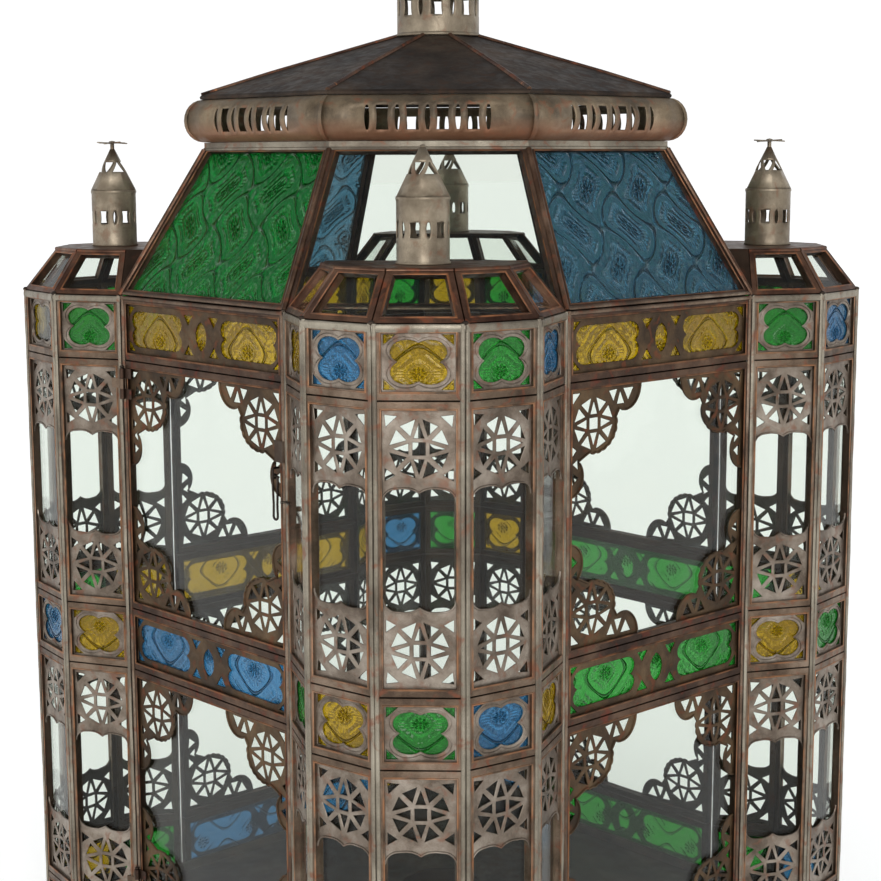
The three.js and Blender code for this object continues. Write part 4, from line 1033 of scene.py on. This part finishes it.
def rolled_side(number, slot_pitch=9.8, edge_row=2.02):
    """One side of the band: half way round an ellipse in height, mitred to its neighbours at the ends."""
    upright = face_frame(number * 45 * deg, (bay_reach if number % 2 else wall_reach) - main_run)
    above = [1.25, 1.5, 1.8, edge_row]
    rows_at = np.concatenate([-np.array(above[::-1]), np.linspace(-1, 1, 9), above])
    count = 2 * vent_slots + 1
    centres = (np.arange(count) - (count - 1) / 2) * slot_pitch
    shapes = np.where(np.arange(count) % 2 == 0, slit, waisted)
    widths = np.where(shapes == slit, 3.4, 9.2)
    ring = body_ring(main_run - band_bulge)
    full = np.linalg.norm(ring[number] - ring[number - 1]) / 2
    shrink = full - np.linalg.norm(high_ring[number] - high_ring[number - 1]) / 2

    def place(along, row):
        angle = np.clip(row / edge_row, -1, 1) * np.pi / 2
        out = band_bulge * np.cos(angle)
        drawn = (full - shrink * (1 - np.cos(angle))) / full
        past_slots = np.abs(along) > (vent_slots + 1) * slot_pitch - 1
        sideways = np.where(past_slots, along * drawn, along)
        return np.stack([sideways, band_foot + band_height / 2 * (1 + np.sin(angle)), out], -1)

    return onto([upright], [slotted(rows_at, place, centres, widths, shapes, (-full, full), 2, 2)])


def corner_joint(number, width=3.2):
    """A narrow strip over the band's corner, following the same half ellipse a little further out."""
    angle = np.linspace(-np.pi / 2, np.pi / 2, 13)
    rise = band_foot + band_height / 2 * (1 + np.sin(angle))
    rings = np.stack([body_ring(main_run - (band_bulge + 0.5) * c)[number] for c in np.cos(angle)])
    out = rings[6] / np.linalg.norm(rings[6])
    side = np.array([-out[1], out[0]])
    across = np.array([(-width / 2, -1.0), (-width / 2, 0.1), (0, 0.7), (width / 2, 0.1), (width / 2, -1.0)])
    flat = rings[:, None] + side * across[None, :, :1] + out * across[None, :, 1:]
    return capped(quads(np.dstack([flat, np.repeat(rise[:, None], 5, 1)]), round_columns=True), 5)


# Wiped brass sheet: olive brown above, where dust lies, and copper red below, where hands rub
band_sheet = aged_metal("wiped_band_sheet", ("#43382b", "#8f7e66", "#6c5d49"), "#804c32", 0.6, (0.42, 0.6),
                        0.45, 32, soot_and_shade=0.0, drawn=(0.35, 0.35, 1))
tree = band_sheet.node_tree
shader = tree.nodes["Principled BSDF"]
browned = shader.inputs["Base Color"].links[0].from_socket
height = add(tree, "SeparateXYZ", {"Vector": add(tree, "TexCoord").outputs["Object"]}).outputs["Z"]
low = add(tree, "MapRange", {"Value": height, "From Min": rubbed_from / 1000, "From Max": rubbed_to / 1000,
                             "To Max": 0.6})
reddened = add(tree, "Mix", {"Factor": low, "A": browned, "B": linear("#8c5a3f")}, data_type="RGBA")
feed(tree, shader, {"Base Color": reddened})
rolled = [part for number in range(8) for part in rolled_side(number)]
solidified(piece("vent_band_rolled", rolled, band_sheet, "vent_band"), band_thickness)
piece("vent_band_joints", [corner_joint(number) for number in range(8)], band_sheet, "vent_band")

# Cap and crown: eight dark sheets with a folded rib at each joint close the top. A slotted drum and
# cone stand on them, like a large finial, with a ball and the wire eye that holds the ring.
cap_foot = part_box("vent_cap")[0].z * 1000
crown_foot, crown_radius, crown_drum, crown_cone, crown_sheet = cap_foot + 46.3, 30, 42, 44, 1.0
cap_inner = bay_reach - crown_radius
cap_edge, cap_knee = (main_run - 1.0, cap_foot + 3.0), (main_run + 45, cap_foot + 18.5)
cap_head = crown_foot - joint_gap
cap_face = around_body([(main_run - 2.0, cap_foot), (main_run - 2.4, cap_foot + 1.6), cap_edge, cap_knee,
                        (cap_inner + 1, cap_head), (cap_inner + 6, cap_head), (cap_inner + 5, cap_head - 2.7),
                        (main_run + 45, cap_foot + 16.3), (main_run + 2, cap_foot)])
rib_inwards, rib_heights = np.array([cap_edge, cap_knee, (cap_inner, cap_head)]).T
rib_share = np.linspace(rib_inwards[0], cap_inner, 18)
cap_ribs = []
for number in range(8):
    path = np.array([[*body_ring(inwards)[number], height]
                     for inwards, height in zip(rib_share, np.interp(rib_share, rib_inwards, rib_heights))])
    cap_ribs.append(wire(path, 1.6, np.cross(path[-1] - path[0], (path[0][1], -path[0][0], 0)), sides=8))
piece("vent_cap_sheets", [cap_face], dark_sheet, "vent_cap", bend=12)
piece("vent_cap_ribs", cap_ribs, red_channel, "vent_cap")
crown_section = [(crown_radius + out, level) for out, level in (
    (1.4, 0), (1.0, 1.4), (0, 2.4), (0, 12), (0, 36), (0.3, 36.6), (1.2, 37.6), (1.5, 38.8), (1.2, 40),
    (0.2, 41), (0, crown_drum))]
crown_top = [(crown_radius, crown_drum), (29.4, 43.0), (19.5, 57.0), (10.0, 71.5),
             (3.6, crown_drum + crown_cone)]
crown_parts = [drum(0, 0, crown_foot, crown_section, 12, 30, [9.5, 3.4] * 8, [waisted, slit] * 8),
               drum(0, 0, crown_foot, crown_top, 60, 71, [11.5] * 6, [wedge, upturned] * 3)]
solidified(piece("crown_shell", crown_parts, rolled_sheet, "crown"), crown_sheet)

# The ball and the eye are turned and bent from solid brass, and the iron ring hangs loose in the eye
ball_radius, eye_radius, eye_wire, ring_radius, ring_wire, slack = 7, 8.5, 2.4, 27, 2.6, 0.3
crown_peak = crown_foot + crown_drum + crown_cone
eye_centre = crown_peak + 1.5 * ball_radius + eye_radius
ball = turned(arc(0, crown_peak + ball_radius / 2, ball_radius, ball_radius, -88, 88, 14), 28)
eye_path = arc(0, eye_centre, eye_radius, eye_radius, 0, 348, 29)
eye = wire(np.stack([eye_path[:, 0], np.zeros(30), eye_path[:, 1]], -1), eye_wire, (0, -1, 0), True, 12)
piece("crown_ball_and_eye", [ball, eye], rolled_sheet, "crown")
ring_pivot = eye_centre - eye_radius + eye_wire + slack + ring_wire
ring_low, ring_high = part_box("hanging_ring")
ring_middle = np.array(((ring_low + ring_high) / 2) * 1000)
ring_out = np.array([-(ring_middle[2] - ring_pivot), 0, ring_middle[0]])
ring_out = ring_out / np.linalg.norm(ring_out)
turn = np.linspace(0, 2 * np.pi, 49)[:-1, None]
ring_up = np.cross(ring_out, (0, 1, 0))
ring_path = ring_middle + ring_radius * (np.cos(turn) * np.array([0, 1, 0]) + np.sin(turn) * ring_up)
piece("hanging_ring_wire", [wire(ring_path, ring_wire, ring_out, True, 12)], black_wire, "hanging_ring",
      "hanging_ring")

# Studio: a floor of pale paper that shines a little, as if lit from behind, in a bright even room, with
# two soft lights in front of the lantern, one high on the right and a smaller one on the left.
floor_half, floor_level = 30, -0.0005
floor_corners = [(x, z, floor_level) for x, z in rectangle(-floor_half, floor_half, -floor_half, floor_half)]
floor_sheet = bpy.data.meshes.new("studio_floor")
floor_sheet.from_pydata(floor_corners, [], [(0, 1, 2, 3)])
paper, tree, shader = new_material("pale_paper")
feed(tree, shader, {"Base Color": linear("#f6f6f4"), "Roughness": 0.95, "Emission Color": linear("#ffffff"),
                    "Emission Strength": 0.52})
floor_sheet.materials.append(paper)
floor = bpy.data.objects.new("studio_floor", floor_sheet)
bpy.context.scene.collection.objects.link(floor)

# The room is white up to 12 degrees above the floor and pale grey above 30 degrees
world = bpy.data.worlds.new("bright_room")
world.use_nodes = True
tree = world.node_tree
height = add(tree, "SeparateXYZ", {"Vector": add(tree, "TexCoord").outputs["Generated"]}).outputs["Z"]
room = add(tree, "ValToRGB", {"Fac": height}, [(0.2, linear("#ffffff")), (0.5, linear("#9c9fa2"))])
feed(tree, tree.nodes["Background"], {"Color": room, "Strength": 1.05})
bpy.context.scene.world = world
aim = Vector((0, 0, 0.35))
for name, kind, place, power, spread, width in (
        ("soft_key_light", "SUN", (2.3, -1.9, 1.3), 1.5, "angle", 40 * deg),
        ("soft_light_left", "AREA", (-0.9, -2.6, 1.0), 5, "size", 1.4)):
    lamp = bpy.data.lights.new(name, kind)
    lamp.energy = power
    setattr(lamp, spread, width)
    light = bpy.data.objects.new(name, lamp)
    light.location = place
    light.rotation_euler = (Vector(place) - aim).to_track_quat("Z", "Y").to_euler()
    bpy.context.scene.collection.objects.link(light)

# Camera: at the photograph's place, level with the roof and looking a little down on one corner
azimuth, pitch, roll, distance, aside, camera_height = 47.24, 8.92, -0.185, 1354.1, 0.8, 594.2
camera_data = bpy.data.cameras.new("camera")
camera_data.lens, camera_data.sensor_width, camera_data.clip_end = 73.83, 36, 200
camera = bpy.data.objects.new("camera", camera_data)
back = Vector((np.sin(azimuth * deg), -np.cos(azimuth * deg), 0))
right = Vector((np.cos(azimuth * deg), np.sin(azimuth * deg), 0))
spot = (back * distance + right * aside) / 1000 + Vector((0, 0, camera_height / 1000))
look = Vector((back.x * np.cos(pitch * deg), back.y * np.cos(pitch * deg), np.sin(pitch * deg)))
turned_camera = look.to_track_quat("Z", "Y").to_matrix().to_4x4() @ Matrix.Rotation(roll * deg, 4, "Z")
camera.matrix_world = Matrix.Translation(spot) @ turned_camera
bpy.context.scene.collection.objects.link(camera)
bpy.context.scene.camera = camera
bpy.context.scene.view_settings.view_transform = "Standard"
